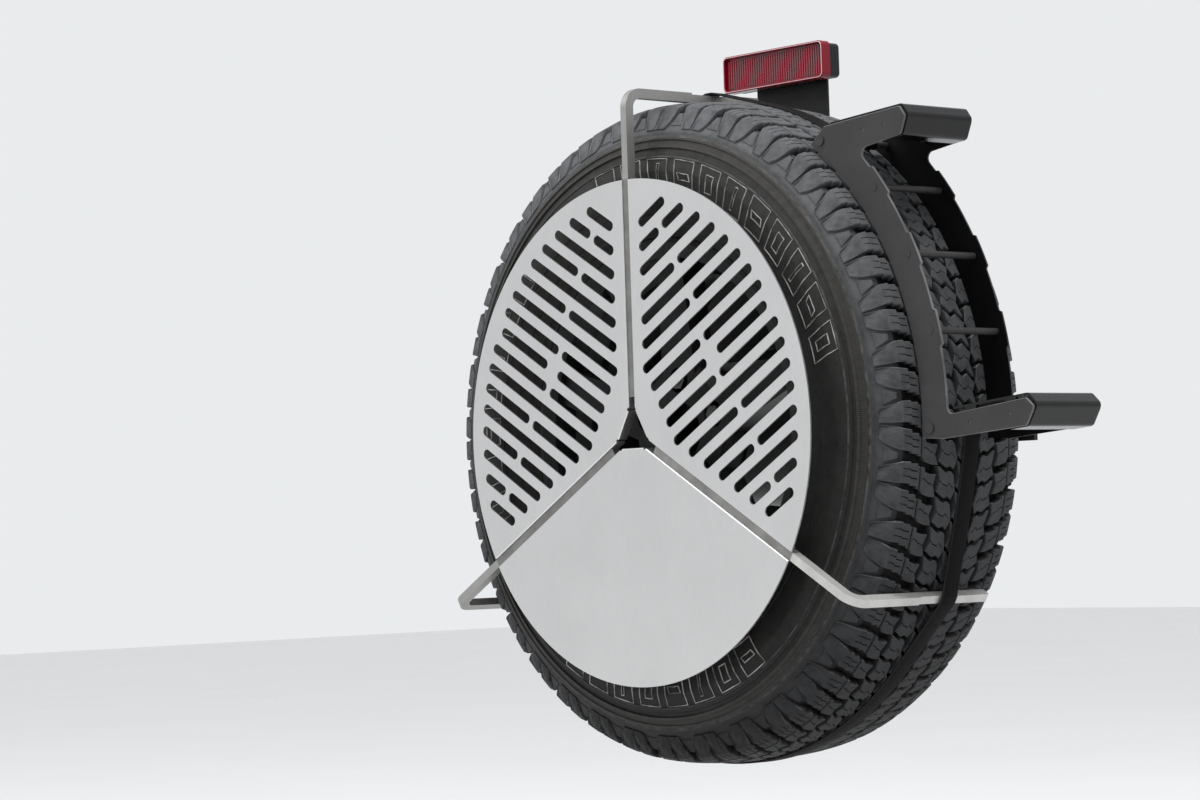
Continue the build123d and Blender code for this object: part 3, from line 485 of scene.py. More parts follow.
@dataclass(frozen=True)
class Plastic(Paint):
    """Moulded plastic with a faint skin texture."""

    tone: Colour
    rough: float = 0.3
    texture: float = 0.1
    coat: float = 0.0
    gloss: float = 0.5
    grains: float = 900.0
    clouds: float = 30.0
    cloud_tones: tuple[float, float] = (0.88, 1.10)
    rough_swing: float = 0.04
    depth: float = 0.0003

    def paint(self, ink: Inks, place: object) -> None:
        """Paint the finish on an empty material."""
        skin = ink.noise(place, self.grains, 2.0)
        cloud = ink.noise(place, self.clouds)
        ink.colour(ink.mix(cloud, *(lit(self.tone, factor) for factor in self.cloud_tones)))
        ink.rough(ink.line(skin, 2.0 * self.rough_swing, self.rough - self.rough_swing))
        ink.bump(skin, self.texture, self.depth)
        ink.set(Coat_Weight=self.coat, Specular_IOR_Level=self.gloss)


@dataclass(frozen=True)
class RibbedLens(Paint):
    """Lens: slanted bands of clear red and of grey, the grey bands a painted reflection, crossed by fine
    ribs.
    """

    red: Colour = (0.36, 0.012, 0.040)
    grey: Colour = (0.145, 0.080, 0.080)
    band: float = 0.0345
    slant: float = -0.55
    mesh: float = 0.0024
    clouds: float = 75.0
    swing: float = 0.30
    rough: float = 0.3
    relief: tuple[float, float] = (0.25, 0.0004)

    def paint(self, ink: Inks, place: object) -> None:
        """Paint the finish. The bands of painted reflection follow the sine of x + slant * z."""
        x, _, z = ink.axes(place)
        run = ink.times(ink.math("ADD", x, ink.times(z, self.slant)), TURN / self.band)
        cloud = ink.noise(place, self.clouds, 3.0, 0.6)
        wave = ink.math("ADD", ink.times(ink.math("SINE", run), self.swing), cloud)
        # Painted reflection: grey bands slant across the red lens.
        body = ink.mix(ink.ramp(wave, ((0.15, 0.05), (0.85, 0.95))), self.grey, self.red)
        cross = ink.math("SINE", ink.times(z, TURN / self.mesh))
        ink.colour(ink.mix(ink.line(cross, 0.22, 0.22), body, lit(self.red, 0.35)))
        ink.rough(self.rough)
        ink.bump(cross, *self.relief)
        ink.set(Coat_Weight=0.1, Specular_IOR_Level=0.35)


@dataclass(frozen=True)
class ZincPlate(Paint):
    """Bright zinc on pressed and turned steel, a little cloudy."""

    tone: Colour = (0.60, 0.60, 0.58)
    rough: float = 0.32
    rough_swing: float = 0.1
    clouds: float = 120.0
    relief: tuple[float, float] = (0.08, 0.0003)

    def paint(self, ink: Inks, place: object) -> None:
        """Paint the finish on an empty material."""
        cloud = ink.noise(place, self.clouds, 4.0, 0.6)
        ink.colour(ink.mix(cloud, lit(self.tone, 0.72), self.tone))
        ink.rough(ink.line(cloud, 2.0 * self.rough_swing, self.rough - self.rough_swing))
        ink.bump(cloud, *self.relief)
        ink.set(Metallic=1.0)


class Finish(Enum):
    """Every finish on the object, by the record's slot that it belongs to."""

    PANEL = "stainless"
    LEG = "bar_steel"
    CARRIER = "carrier_black"
    STEP = "step_black"
    STEP_SHADED = "step_black deep"
    STEP_TREAD = "step_black tread"
    RIM = "rim_black"
    TYRE = "tyre"
    TYRE_LINE = "tyre line"
    WEBBING = "webbing"
    ZINC = "zinc_steel"
    RUBBER = "rubber_black"
    LAMP_BODY = "lamp_black"
    LAMP_FRAME = "lamp_red"
    LAMP_HIGHLIGHT = "lamp_red line"
    LENS = "lens_red"
    NUT = "zinc_steel nut"
    LEG_LOW = "bar_steel low"
    BOARD = "board_white"


# Y spans of the step plates' edges, where the painted highlight lies.
STEP_HIGHLIGHT_SPANS = ((-0.26193, -0.2591), (-0.1529, -0.15007))

RECIPES = {
    Finish.PANEL: BrushedSheet(),
    Finish.LEG: MillBar(),
    Finish.CARRIER: PowderCoat(tone=(0.009, 0.009, 0.0095), dust=(0.022, 0.022, 0.022), rough=0.45,
                               gloss=0.25),
    Finish.STEP: PowderCoat(tone=(0.025, 0.0240, 0.0235), dust=(0.046, 0.045, 0.044), rims=STEP_HIGHLIGHT_SPANS),
    # The rear step plate: a shaded copy of the step finish, painted near black as painted shade, with a
    # dimmer painted highlight on its rims.
    Finish.STEP_SHADED: PowderCoat(tone=(0.0020, 0.0020, 0.0022), dust=(0.006, 0.006, 0.006), rims=STEP_HIGHLIGHT_SPANS,
                                 rim_highlight=(0.085, 0.085, 0.088), gloss=0.12),
    Finish.STEP_TREAD: PowderCoat(tone=(0.0022, 0.0022, 0.0025), dust=(0.010, 0.010, 0.010), rough=0.20,
                                  grit=420.0, gloss=0.32),
    Finish.RIM: PowderCoat(tone=(0.008, 0.008, 0.009), dust=(0.018, 0.018, 0.018), rough=0.36,
                           grit=600.0, gloss=0.25),
    Finish.TYRE: TyreRubber(),
    Finish.TYRE_LINE: HighlightedRubber(),
    Finish.WEBBING: Webbing(),
    Finish.ZINC: ZincPlate(),
    Finish.RUBBER: Plastic(tone=(0.020, 0.020, 0.020), rough=0.7, texture=0.3),
    Finish.LAMP_BODY: Plastic(tone=(0.008, 0.009, 0.010), rough=0.42, texture=0.25, gloss=0.25),
    Finish.LAMP_FRAME: Plastic(tone=(0.17, 0.0008, 0.010), rough=0.22, coat=0.1, gloss=0.25),
    # A pale pink for the bead on the lamp frame's edge: a painted highlight.
    Finish.LAMP_HIGHLIGHT: Plastic(tone=(0.62, 0.42, 0.44), rough=0.3),
    Finish.LENS: RibbedLens(),
    # The lug nuts and studs: a darker copy of the zinc finish, painted shade deep inside the wheel.
    Finish.NUT: ZincPlate(tone=(0.16, 0.16, 0.16), rough=0.4),
    # The right leg: a lit copy of the bar finish, less metallic, and painted much lighter past the panels as
    # painted light.
    Finish.LEG_LOW: MillBar(lit_tone=(0.50, 0.495, 0.48), metal=0.45),
    Finish.BOARD: Plastic(tone=(0.70, 0.70, 0.66), rough=0.5),
}


class Palette:
    """Makes each finish once and hands it out."""

    def __init__(self) -> None:
        """Start with no material made."""
        self.made: dict[Finish, bpy.types.Material] = {}

    def get(self, finish: Finish) -> bpy.types.Material:
        """Return the material of a finish."""
        if finish not in self.made:
            self.made[finish] = RECIPES[finish].make(finish.value.replace(" ", "_") + "_finish")
        return self.made[finish]

    def dress(self, node: bpy.types.Object, finish: Finish) -> None:
        """Give a CAD node its finish in every one of its slots."""
        if not node.material_slots:
            node.data.materials.append(self.get(finish))
        for place in node.material_slots:
            place.material = self.get(finish)


# ---------------------------------------------------------------------------
# Mesh helpers
# ---------------------------------------------------------------------------


def grid_faces(rows: int, columns: int, wrap_rows: bool = False, wrap_columns: bool = False) -> Array:
    """Return the quads of a grid whose points are stored row by row.

    Args:
        rows: number of rows.
        columns: number of columns.
        wrap_rows: join the last row to the first.
        wrap_columns: join the last column to the first.

    Returns:
        An array of four indices for each quad.
    """
    r = np.arange(rows if wrap_rows else rows - 1)[:, None]
    c = np.arange(columns if wrap_columns else columns - 1)[None, :]
    r2, c2 = (r + 1) % rows, (c + 1) % columns
    quads = np.stack(
        (r * columns + c, r * columns + c2, r2 * columns + c2, r2 * columns + c), axis=-1
    )
    return quads.reshape(-1, 4)


@dataclass
class MeshParts:
    """Vertices and faces gathered for one mesh, with an optional tone for each vertex."""

    points: list[Array] = field(default_factory=list)
    faces: list[Array] = field(default_factory=list)
    tones: list[Array] = field(default_factory=list)
    count: int = 0

    def add(self, points: Array, *faces: Array, tone: Array | float = 0.0) -> None:
        """Add points of shape (..., 3) with faces that index them.

        Args:
            points: places in metres.
            faces: arrays of vertex indices, one row for each face.
            tone: 1 for a point down in a groove, painted shade, 0 on the skin and -1 on an edge, painted
                highlight.
        """
        for block in faces:
            self.faces.append(np.asarray(block, int) + self.count)
        points = np.asarray(points, float).reshape(-1, 3)
        self.points.append(points)
        self.tones.append(np.broadcast_to(np.asarray(tone, float).reshape(-1), (len(points),)))
        self.count += len(points)

    def repeat(self, points: Array, faces: Sequence[Array], tone: Array, turns: Array) -> None:
        """Add a shape once for each turn, in degrees, round the wheel axis."""
        angle = np.radians(np.asarray(turns, float))[:, None]
        x, y, z = points[None, :, 0], points[None, :, 1], points[None, :, 2]
        cos, sin = np.cos(angle), np.sin(angle)
        level = np.broadcast_to(y, (len(angle), y.shape[1]))
        turned = np.stack((x * cos - z * sin, level, x * sin + z * cos), -1)
        steps = (np.arange(len(angle)) * len(points))[:, None, None]
        blocks = [(np.asarray(f, int)[None] + steps).reshape(-1, np.asarray(f).shape[1]) for f in faces]
        self.add(turned, *blocks, tone=np.tile(tone.reshape(-1), len(angle)))

    def build(self, name: str) -> bpy.types.Object:
        """Return the parts as one mesh object at the origin."""
        mesh = bpy.data.meshes.new(name)
        points = np.concatenate(self.points)
        blocks = [f for f in self.faces if len(f)]
        loops = np.concatenate([f.reshape(-1) for f in blocks])
        sizes = np.concatenate([np.full(len(f), f.shape[1]) for f in blocks])
        mesh.vertices.add(len(points))
        mesh.vertices.foreach_set("co", points.astype(np.float32).reshape(-1))
        mesh.loops.add(len(loops))
        mesh.loops.foreach_set("vertex_index", loops.astype(np.int32))
        mesh.polygons.add(len(sizes))
        starts = np.concatenate(([0], np.cumsum(sizes)[:-1]))
        mesh.polygons.foreach_set("loop_start", starts.astype(np.int32))
        mesh.polygons.foreach_set("use_smooth", np.ones(len(sizes), bool))
        mesh.update(calc_edges=True)
        tones = np.concatenate(self.tones)
        if tones.any():
            sunk = mesh.attributes.new("sunk", "FLOAT", "POINT")
            sunk.data.foreach_set("value", tones.astype(np.float32))
        thing = bpy.data.objects.new(name, mesh)
        bpy.context.collection.objects.link(thing)
        return thing


@dataclass
class Workshop:
    """What every sub-assembly needs: the loaded frame and the finishes."""

    frame: dict
    palette: Palette

    def piece(self, parts: MeshParts, name: str, body: str, finish: Finish, replaces: Iterable[str] = (),
              sharp: float = 30.0) -> bpy.types.Object:
        """Turn gathered parts into a finished piece of the object.

        Args:
            parts: the mesh.
            name: name of the piece.
            body: CAD body that it rides on.
            finish: its finish.
            replaces: CAD nodes that it stands for.
            sharp: edges with more degrees than this stay sharp.

        Returns:
            The new object.
        """
        thing = parts.build(name)
        thing.data.set_sharp_from_angle(angle=math.radians(sharp))
        thing.data.materials.append(self.palette.get(finish))
        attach(thing, body)
        if replaces:
            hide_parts(*replaces)
        LOG.info("%s: %d faces", name, len(thing.data.polygons))
        return thing

    def dress(self, finish: Finish, *names: str) -> None:
        """Give CAD nodes a finish."""
        for name in names:
            self.palette.dress(self.frame["nodes"][name], finish)


# ---------------------------------------------------------------------------
# Tyre
# ---------------------------------------------------------------------------


@dataclass
class TyreShape:
    """The tyre's cross-section, read by distance along its outer skin, in mm.

    The skin starts at the middle of the tread. Its first points are the tops of the
    blocks; past the shoulder it runs down the sidewall.
    """

    middle: float = -185.0
    radii: tuple[float, ...] = (403.9, 403.9, 402.7, 401.0, 398.6, 393.8, 366.0, 362.0)
    offsets: tuple[float, ...] = (0.0, 24.0, 50.0, 70.0, 85.0, 96.0, 110.6, 112.6)
    slope_reach: float = 3.0

    def __post_init__(self) -> None:
        """Work out the skin's running length."""
        r, o = np.array(self.radii), np.array(self.offsets)
        self.length = np.concatenate(([0.0], np.cumsum(np.hypot(np.diff(r), np.diff(o)))))

    def skin(self, s: Array) -> tuple[Array, Array, Array, Array]:
        """Return radius, offset and outward direction at distances s from the middle.

        The direction is the skin's slope turned by a right angle.
        """
        s = np.abs(np.asarray(s, float))
        r = np.interp(s, self.length, self.radii)
        o = np.interp(s, self.length, self.offsets)
        ahead, behind = s + self.slope_reach, s - self.slope_reach
        dr = np.interp(ahead, self.length, self.radii) - np.interp(behind, self.length, self.radii)
        do = np.interp(ahead, self.length, self.offsets) - np.interp(behind, self.length, self.offsets)
        size = np.maximum(np.hypot(dr, do), 1e-9)
        return r, o, do / size, -dr / size

    def point(self, s: Array, angle: Array, lift: Array, side: float) -> Array:
        """Return points in metres on the skin, raised by lift along its direction.

        Args:
            s: distance from the tread's middle in mm; negative crosses the middle.
            angle: degrees round the wheel.
            lift: mm above the skin.
            side: -1 for the front half and 1 for the back half.

        Returns:
            An array like s with three coordinates for each point.
        """
        r, o, nr, no = self.skin(s)
        sign = np.where(np.asarray(s) < 0.0, -1.0, 1.0)
        radius = r + nr * lift
        offset = (o + no * lift) * sign
        turn = np.radians(angle)
        return np.stack(
            (radius * np.cos(turn), self.middle + side * offset, radius * np.sin(turn)), -1
        ) * MM


@dataclass
class Block:
    """One tread block: how its flanks and ends run, in mm and degrees.

    Each station across gives the angles of the low and high flank. The start and the
    end bend by the given mm at the low flank, the middle and the high flank. Cuts are
    sipes at shares between the flanks, inside cut_span, and wave moves them to and fro.
    The block is stepped up to stairs_to, lies lower by drop and slopes off its ridge.
    """

    across: tuple[float, ...]
    low: tuple[float, ...]
    high: tuple[float, ...]
    rows: int
    cuts: tuple[float, ...] = ()
    cut_span: tuple[float, float] = (0.0, 0.0)
    start_bend: tuple[float, float, float] = (0.0, 0.0, 0.0)
    end_bend: tuple[float, float, float] = (0.0, 0.0, 0.0)
    drop: float = 0.0
    wave: float = 0.0
    stairs_to: float = 0.0
    ridge: float = 0.0


@dataclass
class Tread:
    """All tread blocks, repeated round the wheel."""

    shape: TyreShape
    depth_at: tuple[float, ...] = (0.0, 84.0, 97.0, 106.0, 125.0, 131.0)
    depths: tuple[float, ...] = (11.5, 11.5, 9.6, 5.6, 3.4, 1.6)
    edge: float = 1.0
    sink: float = 1.5
    cut_half: float = 0.75
    cut_depth: float = 3.2
    pitch: float = 10.0
    stair: float = 9.6
    stair_share: float = 0.92
    riser_half: float = 0.35
    riser_margin: float = 1.5
    stairs_margin: float = 2.0
    shade_at: tuple[float, float] = (90.0, 107.0)
    shades: tuple[float, float] = (1.0, 0.12)
    crest_at: tuple[float, float] = (98.0, 121.0)
    crest_grows_at: tuple[float, float] = (96.0, 102.0)
    flank_r: float = 400.0
    # Depth in mm below the rim over which a groove wall darkens to full painted shade.
    black_below: float = 4.0
    # Strength of the painted highlight on the rims of the low and of the high flank.
    edge_highlight: tuple[float, float] = (0.3, 1.0)
    middle_width: float = 4.15

    def shade(self, s: Array) -> Array:
        """Return how much painted shade a groove gets at distance s: full on the tread, faint down the
        shoulder.
        """
        return np.interp(np.abs(s), self.shade_at, self.shades)

    def stepped(self, s: Array, block: Block) -> Array:
        """Return the distances with each one inside the stairs moved towards its stair's middle."""
        if not block.stairs_to:
            return s
        middle = (np.floor(s / self.stair) + 0.5) * self.stair
        return np.where(s < block.stairs_to, s + self.stair_share * (middle - s), s)

    def rows(self, block: Block) -> Array:
        """Return the shares along a block where its rows lie, with a pair at each stair's riser."""
        first, last = block.across[0], block.across[-1]
        nib = self.edge / (last - first)
        inner = np.linspace(0.0, 1.0, block.rows)[1:-1]
        if block.stairs_to:
            lowest, highest = math.ceil(first / self.stair), math.floor(block.stairs_to / self.stair)
            riser = np.arange(lowest, highest + 1) * self.stair
            riser = riser[(riser > first + self.riser_margin) & (riser < last - self.riser_margin)]
            pairs = np.concatenate((riser - self.riser_half, riser + self.riser_half))
            pairs = (pairs - first) / (last - first)
            far = inner[(inner * (last - first) + first) > block.stairs_to + self.stairs_margin]
            inner = np.sort(np.concatenate((pairs, far)))
        return np.concatenate(([0.0, nib], inner, [1.0 - nib, 1.0]))

    def depth(self, s: Array) -> Array:
        """Return the groove depth under the skin at distance s."""
        return np.interp(np.abs(s), self.depth_at, self.depths)

    def columns(self, block: Block) -> tuple[Array, Array, list[str]]:
        """Return each column's share between the flanks, its shift in mm and its kind."""
        shares, shifts, kinds = [0.0] * 3, [0.0, 0.0, self.edge], ["wall", "rim", "top"]
        for cut in block.cuts:
            shares += [cut] * 3
            shifts += [-self.cut_half, 0.0, self.cut_half]
            kinds += ["top", "cut", "top"]
        shares += [1.0] * 3
        shifts += [-self.edge, 0.0, 0.0]
        kinds += ["top", "rim", "wall"]
        return np.array(shares), np.array(shifts), kinds

    def block(self, block: Block, side: float) -> tuple[Array, list[Array], Array]:
        """Return one block as a closed skin: its points, its faces and its tones of painted shade and painted
        highlight.

        Rows run across the tread and columns round the wheel. A point's distance s is a
        blend of the bent start and the bent end, and its angle is a blend of the flanks
        at s. The walls are at -depth, the rim at -edge and the top at 0.
        """
        share, shift, kinds = self.columns(block)
        first, last = block.across[0], block.across[-1]
        row = self.rows(block)[:, None]
        start = first + np.interp(share, (0.0, 0.5, 1.0), block.start_bend)[None, :]
        end = last + np.interp(share, (0.0, 0.5, 1.0), block.end_bend)[None, :]
        s = start + (end - start) * row
        bent = self.stepped(s, block)
        low = np.interp(bent, block.across, block.low)
        high = np.interp(bent, block.across, block.high)
        per_mm = math.degrees(1.0 / self.flank_r)
        wave = np.where(np.arange(len(row)) % 2 == 0, 1.0, -1.0)[:, None] * block.wave
        inside = (s > block.cut_span[0]) & (s < block.cut_span[1])
        cut = np.array([kind in ("cut", "top") for kind in kinds]) & (share > 0.0) & (share < 1.0)
        shift = shift[None, :] + np.where(cut[None, :] & inside, wave, 0.0)
        angle = low + share[None, :] * (high - low) + shift * per_mm
        depth = self.depth(s) + self.sink
        lift = np.zeros_like(angle)
        for column, kind in enumerate(kinds):
            if kind == "wall":
                lift[:, column] = -depth[:, column]
            elif kind == "rim":
                lift[:, column] = -self.edge
            elif kind == "cut":
                lift[:, column] = np.where(inside[:, column], -self.cut_depth, 0.0)
        top = np.array([kind in ("top", "cut") for kind in kinds])
        if block.ridge:
            crest = np.interp(s, self.crest_at, (1.0, 0.0))
            slope = np.abs(share[None, :] - crest) * np.interp(s, self.crest_grows_at, (0.0, 1.0))
            lift -= np.where(top[None, :], block.ridge * slope, 0.0)
        for edge_row in (0, -1):
            lift[edge_row, top] = -self.edge
        lift -= np.where(lift > -depth, block.drop, 0.0)
        lift = np.maximum(lift, -depth)
        # Painted shade: points deeper than the rim are toned black, and so are the sipes' floors.
        tone = np.clip((-lift - self.edge - block.drop) / self.black_below, 0.0, 1.0) * self.shade(s)
        tone = np.maximum(tone, np.where(lift <= -self.cut_depth, self.shade(s), 0.0))
        # Painted highlight: rim columns get a negative tone, full on the high flank and faint on the low one.
        rim = np.array([kind == "rim" for kind in kinds])
        faint, full = self.edge_highlight
        highlight_mix = np.where(share > 0.5, full, faint) * rim
        tone = np.where((highlight_mix > 0.0) & (tone < 0.3), -highlight_mix, tone)
        points = self.shape.point(s, angle, lift, side)
        rows, columns = angle.shape
        faces = grid_faces(rows, columns, wrap_columns=True)
        low_cap = np.arange(columns)[None, :]
        high_cap = (rows - 1) * columns + low_cap
        caps = [low_cap[:, ::-1], high_cap]
        if side > 0:
            faces = faces[:, ::-1]
            caps = [low_cap, high_cap[:, ::-1]]
        return points.reshape(-1, 3), [faces, *caps], tone

    def shoulder_blocks(self) -> list[Block]:
        """Return the shoulder blocks of one pitch: two lugs in two parts, and a ledge."""
        across = (50.0, 60.0, 70.0, 87.0, 98.0, 107.0, 120.0, 126.5)
        outer, inner = (73.6, *across[3:]), (*across[:2], 71.4)
        lugs = (
            ((-6.75, -6.45, -5.5, -4.65, -4.35, -4.0, -3.3, -2.6),
             (-3.5, -3.1, -2.5, -1.15, -0.70, -0.42, -0.18, -0.12)),
            ((-12.05, -11.8, -10.9, -9.85, -9.75, -9.75, -9.80, -9.82),
             (-8.35, -8.05, -7.2, -6.2, -6.25, -6.6, -7.1, -7.5)),
        )
        stairs = {"wave": 0.5, "stairs_to": 91.0}
        made = []
        for lug in lugs:
            flanks = (tuple(np.interp(outer, across, flank)) for flank in lug)
            made.append(Block(outer, *flanks, rows=15, cuts=(0.34, 0.68), cut_span=(76.5, 94.0),
                              ridge=3.4, **stairs))
            flanks = (tuple(np.interp(inner, across, flank)) for flank in lug)
            made.append(Block(inner, *flanks, rows=7, cuts=(0.5,), cut_span=(53.0, 69.0),
                              start_bend=(-2.5, 2.0, -1.0), **stairs))
        made.append(Block((104.0, 121.5), (-5.75, -6.75), (-4.75, -3.75), rows=4, drop=2.6))
        return made

    def zigzag(self, across: tuple[float, ...], low: tuple[float, ...], **rest: object) -> list[Block]:
        """Return one waved block whose high flank follows the low one."""
        high = tuple(angle + self.middle_width for angle in low)
        return [Block(across, low, high, wave=0.7, **rest)]

    def middle_blocks(self) -> list[Block]:
        """Return the blocks of half a pitch that lie between the crown and a shoulder."""
        return self.zigzag((19.0, 27.0, 33.0, 44.5), (0.2, 1.25, 0.75, 1.9), rows=8, cuts=(0.48,),
                           cut_span=(22.0, 42.0), start_bend=(2.4, -2.4, 2.4), end_bend=(1.8, -2.6, 1.8))

    def crown_blocks(self) -> list[Block]:
        """Return the blocks of half a pitch that lie across the crown."""
        return self.zigzag((-13.5, -4.0, 4.0, 13.5), (-1.6, -0.2, -0.9, 0.5), rows=9, cuts=(0.5,),
                           cut_span=(-11.0, 11.0), start_bend=(-2.4, 2.4, -2.4), end_bend=(2.4, -2.4, 2.4))

    def parts(self, blocks: Sequence[Block], side: float, step: float, start: float) -> MeshParts:
        """Return a family of blocks repeated round one half of the tread."""
        parts = MeshParts()
        turns = start + np.arange(0.0, 360.0 - 1e-6, step)
        for block in blocks:
            points, faces, tone = self.block(block, side)
            parts.repeat(points, faces, tone, turns)
        return parts


@dataclass
class Sidewall:
    """The carcass under the blocks and the sidewalls, turned about the wheel axis.

    The profile is the base curve plus ring steps, both read by radius.
    """

    shape: TyreShape
    tread: Tread
    base_r: tuple[float, ...] = (219.0, 221.0, 228.0, 235.7, 236.9, 237.2, 241.0, 250.0, 268.0, 290.0,
                                 315.0, 338.0, 358.0, 363.0)
    base_o: tuple[float, ...] = (91.6, 94.9, 96.4, 98.4, 99.6, 103.3, 105.8, 110.0, 117.0, 123.3,
                                 125.8, 122.4, 114.8, 112.2)
    ring_r: tuple[float, ...] = (241.0, 246.0, 247.5, 252.0, 253.5, 262.0, 262.8, 264.2, 265.0, 284.0,
                                 284.8, 286.2, 287.0, 331.0, 331.6, 333.0, 333.6, 337.5, 338.5, 343.0,
                                 344.0, 347.0, 348.0, 353.0, 354.0, 356.0, 357.0, 361.0, 363.0)
    ring_h: tuple[float, ...] = (-1.5, -1.5, -0.1, -0.1, -1.4, -1.4, -2.2, -2.2, -1.4, -1.4,
                                 -0.5, -0.5, -1.4, -1.4, -0.4, -0.4, -1.8, -1.8, -3.6, -3.6,
                                 -0.6, -0.6, -2.6, -2.8, -0.9, -0.9, -2.2, -1.6, -1.2)
    # Radii in mm of two raised rings, and how strongly a painted highlight is laid on them.
    highlight_bands: tuple[tuple[float, float], ...] = ((356.5, 358.6), (332.2, 334.0))
    highlight_strength: float = 0.35
    around: int = 240

    def surface(self, radius: Array) -> Array:
        """Return the sidewall's offset from the tyre's middle at a radius."""
        steps = np.interp(radius, self.ring_r, self.ring_h, left=0.0)
        return np.interp(radius, self.base_r, self.base_o) + steps

    def profile(self) -> tuple[Array, Array, Array]:
        """Return radius, offset and tone from the bead to the middle of the tread; the tone is a painted
        highlight on two raised rings and painted shade under the grooves.
        """
        r = np.unique(np.concatenate((self.base_r, self.ring_r, np.arange(222.0, 363.0, 4.0))))
        s = np.concatenate((np.arange(131.0, 90.0, -4.0), np.arange(88.0, 30.0, -8.0), [24.0, 12.0, 0.0]))
        sr, so, nr, no = self.shape.skin(s)
        depth = self.tread.depth(s)
        # Painted highlight: the two raised rings get a negative tone, which the tyre finish paints lighter.
        line = -self.highlight_strength * sum((r > low) & (r < high) for low, high in self.highlight_bands)
        # Painted shade: the carcass under the tread's grooves is toned black.
        tone = np.concatenate((line, np.clip((depth - 3.0) / 3.0, 0.0, 1.0) * self.tread.shade(s)))
        return np.concatenate((r, sr - nr * depth)), np.concatenate((self.surface(r), so - no * depth)), tone

    def parts(self, side: float) -> MeshParts:
        """Return half of the carcass: a point is the profile turned by an angle."""
        r, o, tone = self.profile()
        turn = np.linspace(0.0, TURN, self.around, endpoint=False)[:, None]
        level = np.broadcast_to(self.shape.middle + side * o, (self.around, len(r)))
        points = np.stack((r * np.cos(turn), level, r * np.sin(turn)), -1)
        parts = MeshParts()
        faces = grid_faces(self.around, len(r), wrap_rows=True)
        parts.add(points * MM, faces[:, ::-1] if side < 0 else faces, tone=np.tile(tone, self.around))
        return parts


@dataclass
class SidewallMarks:
    """Raised outlines that fill the sidewall's marking band; they spell nothing."""

    wall: Sidewall
    inner: float = 290.0
    outer: float = 331.0
    line: float = 1.5
    height: float = 0.9
    lean: float = 1.1
    gap: float = 0.13
    per_degree: float = 5.4
    flank: float = 0.3
    root: float = -0.6
    spans: tuple[tuple[float, float, int], ...] = ((12.0, 106.0, 11), (236.0, 304.0, 8), (136.0, 200.0, 7))
    hole_shares: tuple[tuple[float, float], ...] = ((0.55, 0.38), (0.22, 0.62), (0.72, 0.14))

    def parts(self, side: float) -> MeshParts:
        """Return the outlines. Each is a ridge round a leaning four-sided cell, with a smaller one inside."""
        parts = MeshParts()
        for first, last, count in self.spans:
            pitch = (last - first) / count
            for index in range(count):
                low = first + (index + self.gap) * pitch
                high = first + (index + 1 - self.gap) * pitch
                corners = np.array([[self.inner, low], [self.inner, high],
                                    [self.outer, high + self.lean], [self.outer, low + self.lean]])
                self.ridge(parts, corners, side)
                share = self.hole_shares[index % len(self.hole_shares)]
                self.ridge(parts, corners.mean(0) + (corners - corners.mean(0)) * share, side)
        return parts

    def ridge(self, parts: MeshParts, corners: Array, side: float) -> None:
        """Add one ridge: the corners' loop, carried inward over four heights."""
        steps = np.linspace(0.0, 1.0, 9)[:-1, None]
        loop = np.concatenate([a + (b - a) * steps for a, b in zip(corners, np.roll(corners, -1, 0))])
        away = (loop - loop.mean(0)) * (1.0, self.per_degree)
        unit = away / np.hypot(away[:, 0], away[:, 1])[:, None] / (1.0, self.per_degree)
        rings = []
        for shift, lift in ((0.0, self.root), (self.flank, self.height),
                            (self.line - self.flank, self.height), (self.line, self.root)):
            radius, angle = (loop - unit * shift).T
            turn = np.radians(angle)
            level = self.wall.shape.middle + side * (self.wall.surface(radius) + lift)
            rings.append(np.stack((radius * np.cos(turn), level, radius * np.sin(turn)), -1))
        faces = grid_faces(4, len(loop), wrap_rows=True, wrap_columns=True)
        parts.add(np.stack(rings, 0) * MM, faces if side < 0 else faces[:, ::-1])


class Tyre:
    """The whole tyre, in pieces small enough to keep their detail.

    A start is the angle of a family's first block, and a sharp angle is the least one
    between two faces whose edge stays sharp, both in degrees.
    """

    shoulder_start = 9.0
    middle_start = 1.0
    crown_start = 3.2
    wall_sharp = 24.0
    marks_sharp = 40.0
    lug_sharp = 6.0

    def __init__(self, shop: Workshop) -> None:
        """Keep the workshop and set up the section."""
        self.shop = shop
        self.shape = TyreShape()
        self.tread = Tread(self.shape)
        self.wall = Sidewall(self.shape, self.tread)

    def build(self) -> None:
        """Build both halves, with the back one turned by half a pitch."""
        shop, tread = self.shop, self.tread
        half = tread.pitch / 2.0
        marks = SidewallMarks(self.wall)
        for side, tag in ((-1.0, "front"), (1.0, "back")):
            replaced = ("tyre",) if side < 0 else ()
            wall = self.wall.parts(side)
            shop.piece(wall, f"tyre_wall_{tag}", "carrier", Finish.TYRE, replaced, sharp=self.wall_sharp)
            lines = marks.parts(side)
            shop.piece(lines, f"tyre_marks_{tag}", "carrier", Finish.TYRE_LINE, sharp=self.marks_sharp)
            shift = 0.0 if side < 0 else half
            shoulder = tread.parts(tread.shoulder_blocks(), side, tread.pitch, self.shoulder_start + shift)
            shop.piece(shoulder, f"tread_shoulder_{tag}", "carrier", Finish.TYRE, sharp=self.lug_sharp)
            middle = tread.parts(tread.middle_blocks(), side, half, self.middle_start + shift / 2.0)
            shop.piece(middle, f"tread_middle_{tag}", "carrier", Finish.TYRE, sharp=self.wall_sharp)
        crown = tread.parts(tread.crown_blocks(), -1.0, half, self.crown_start)
        shop.piece(crown, "tread_crown", "carrier", Finish.TYRE, sharp=self.wall_sharp)


# ---------------------------------------------------------------------------
# Strap
# ---------------------------------------------------------------------------


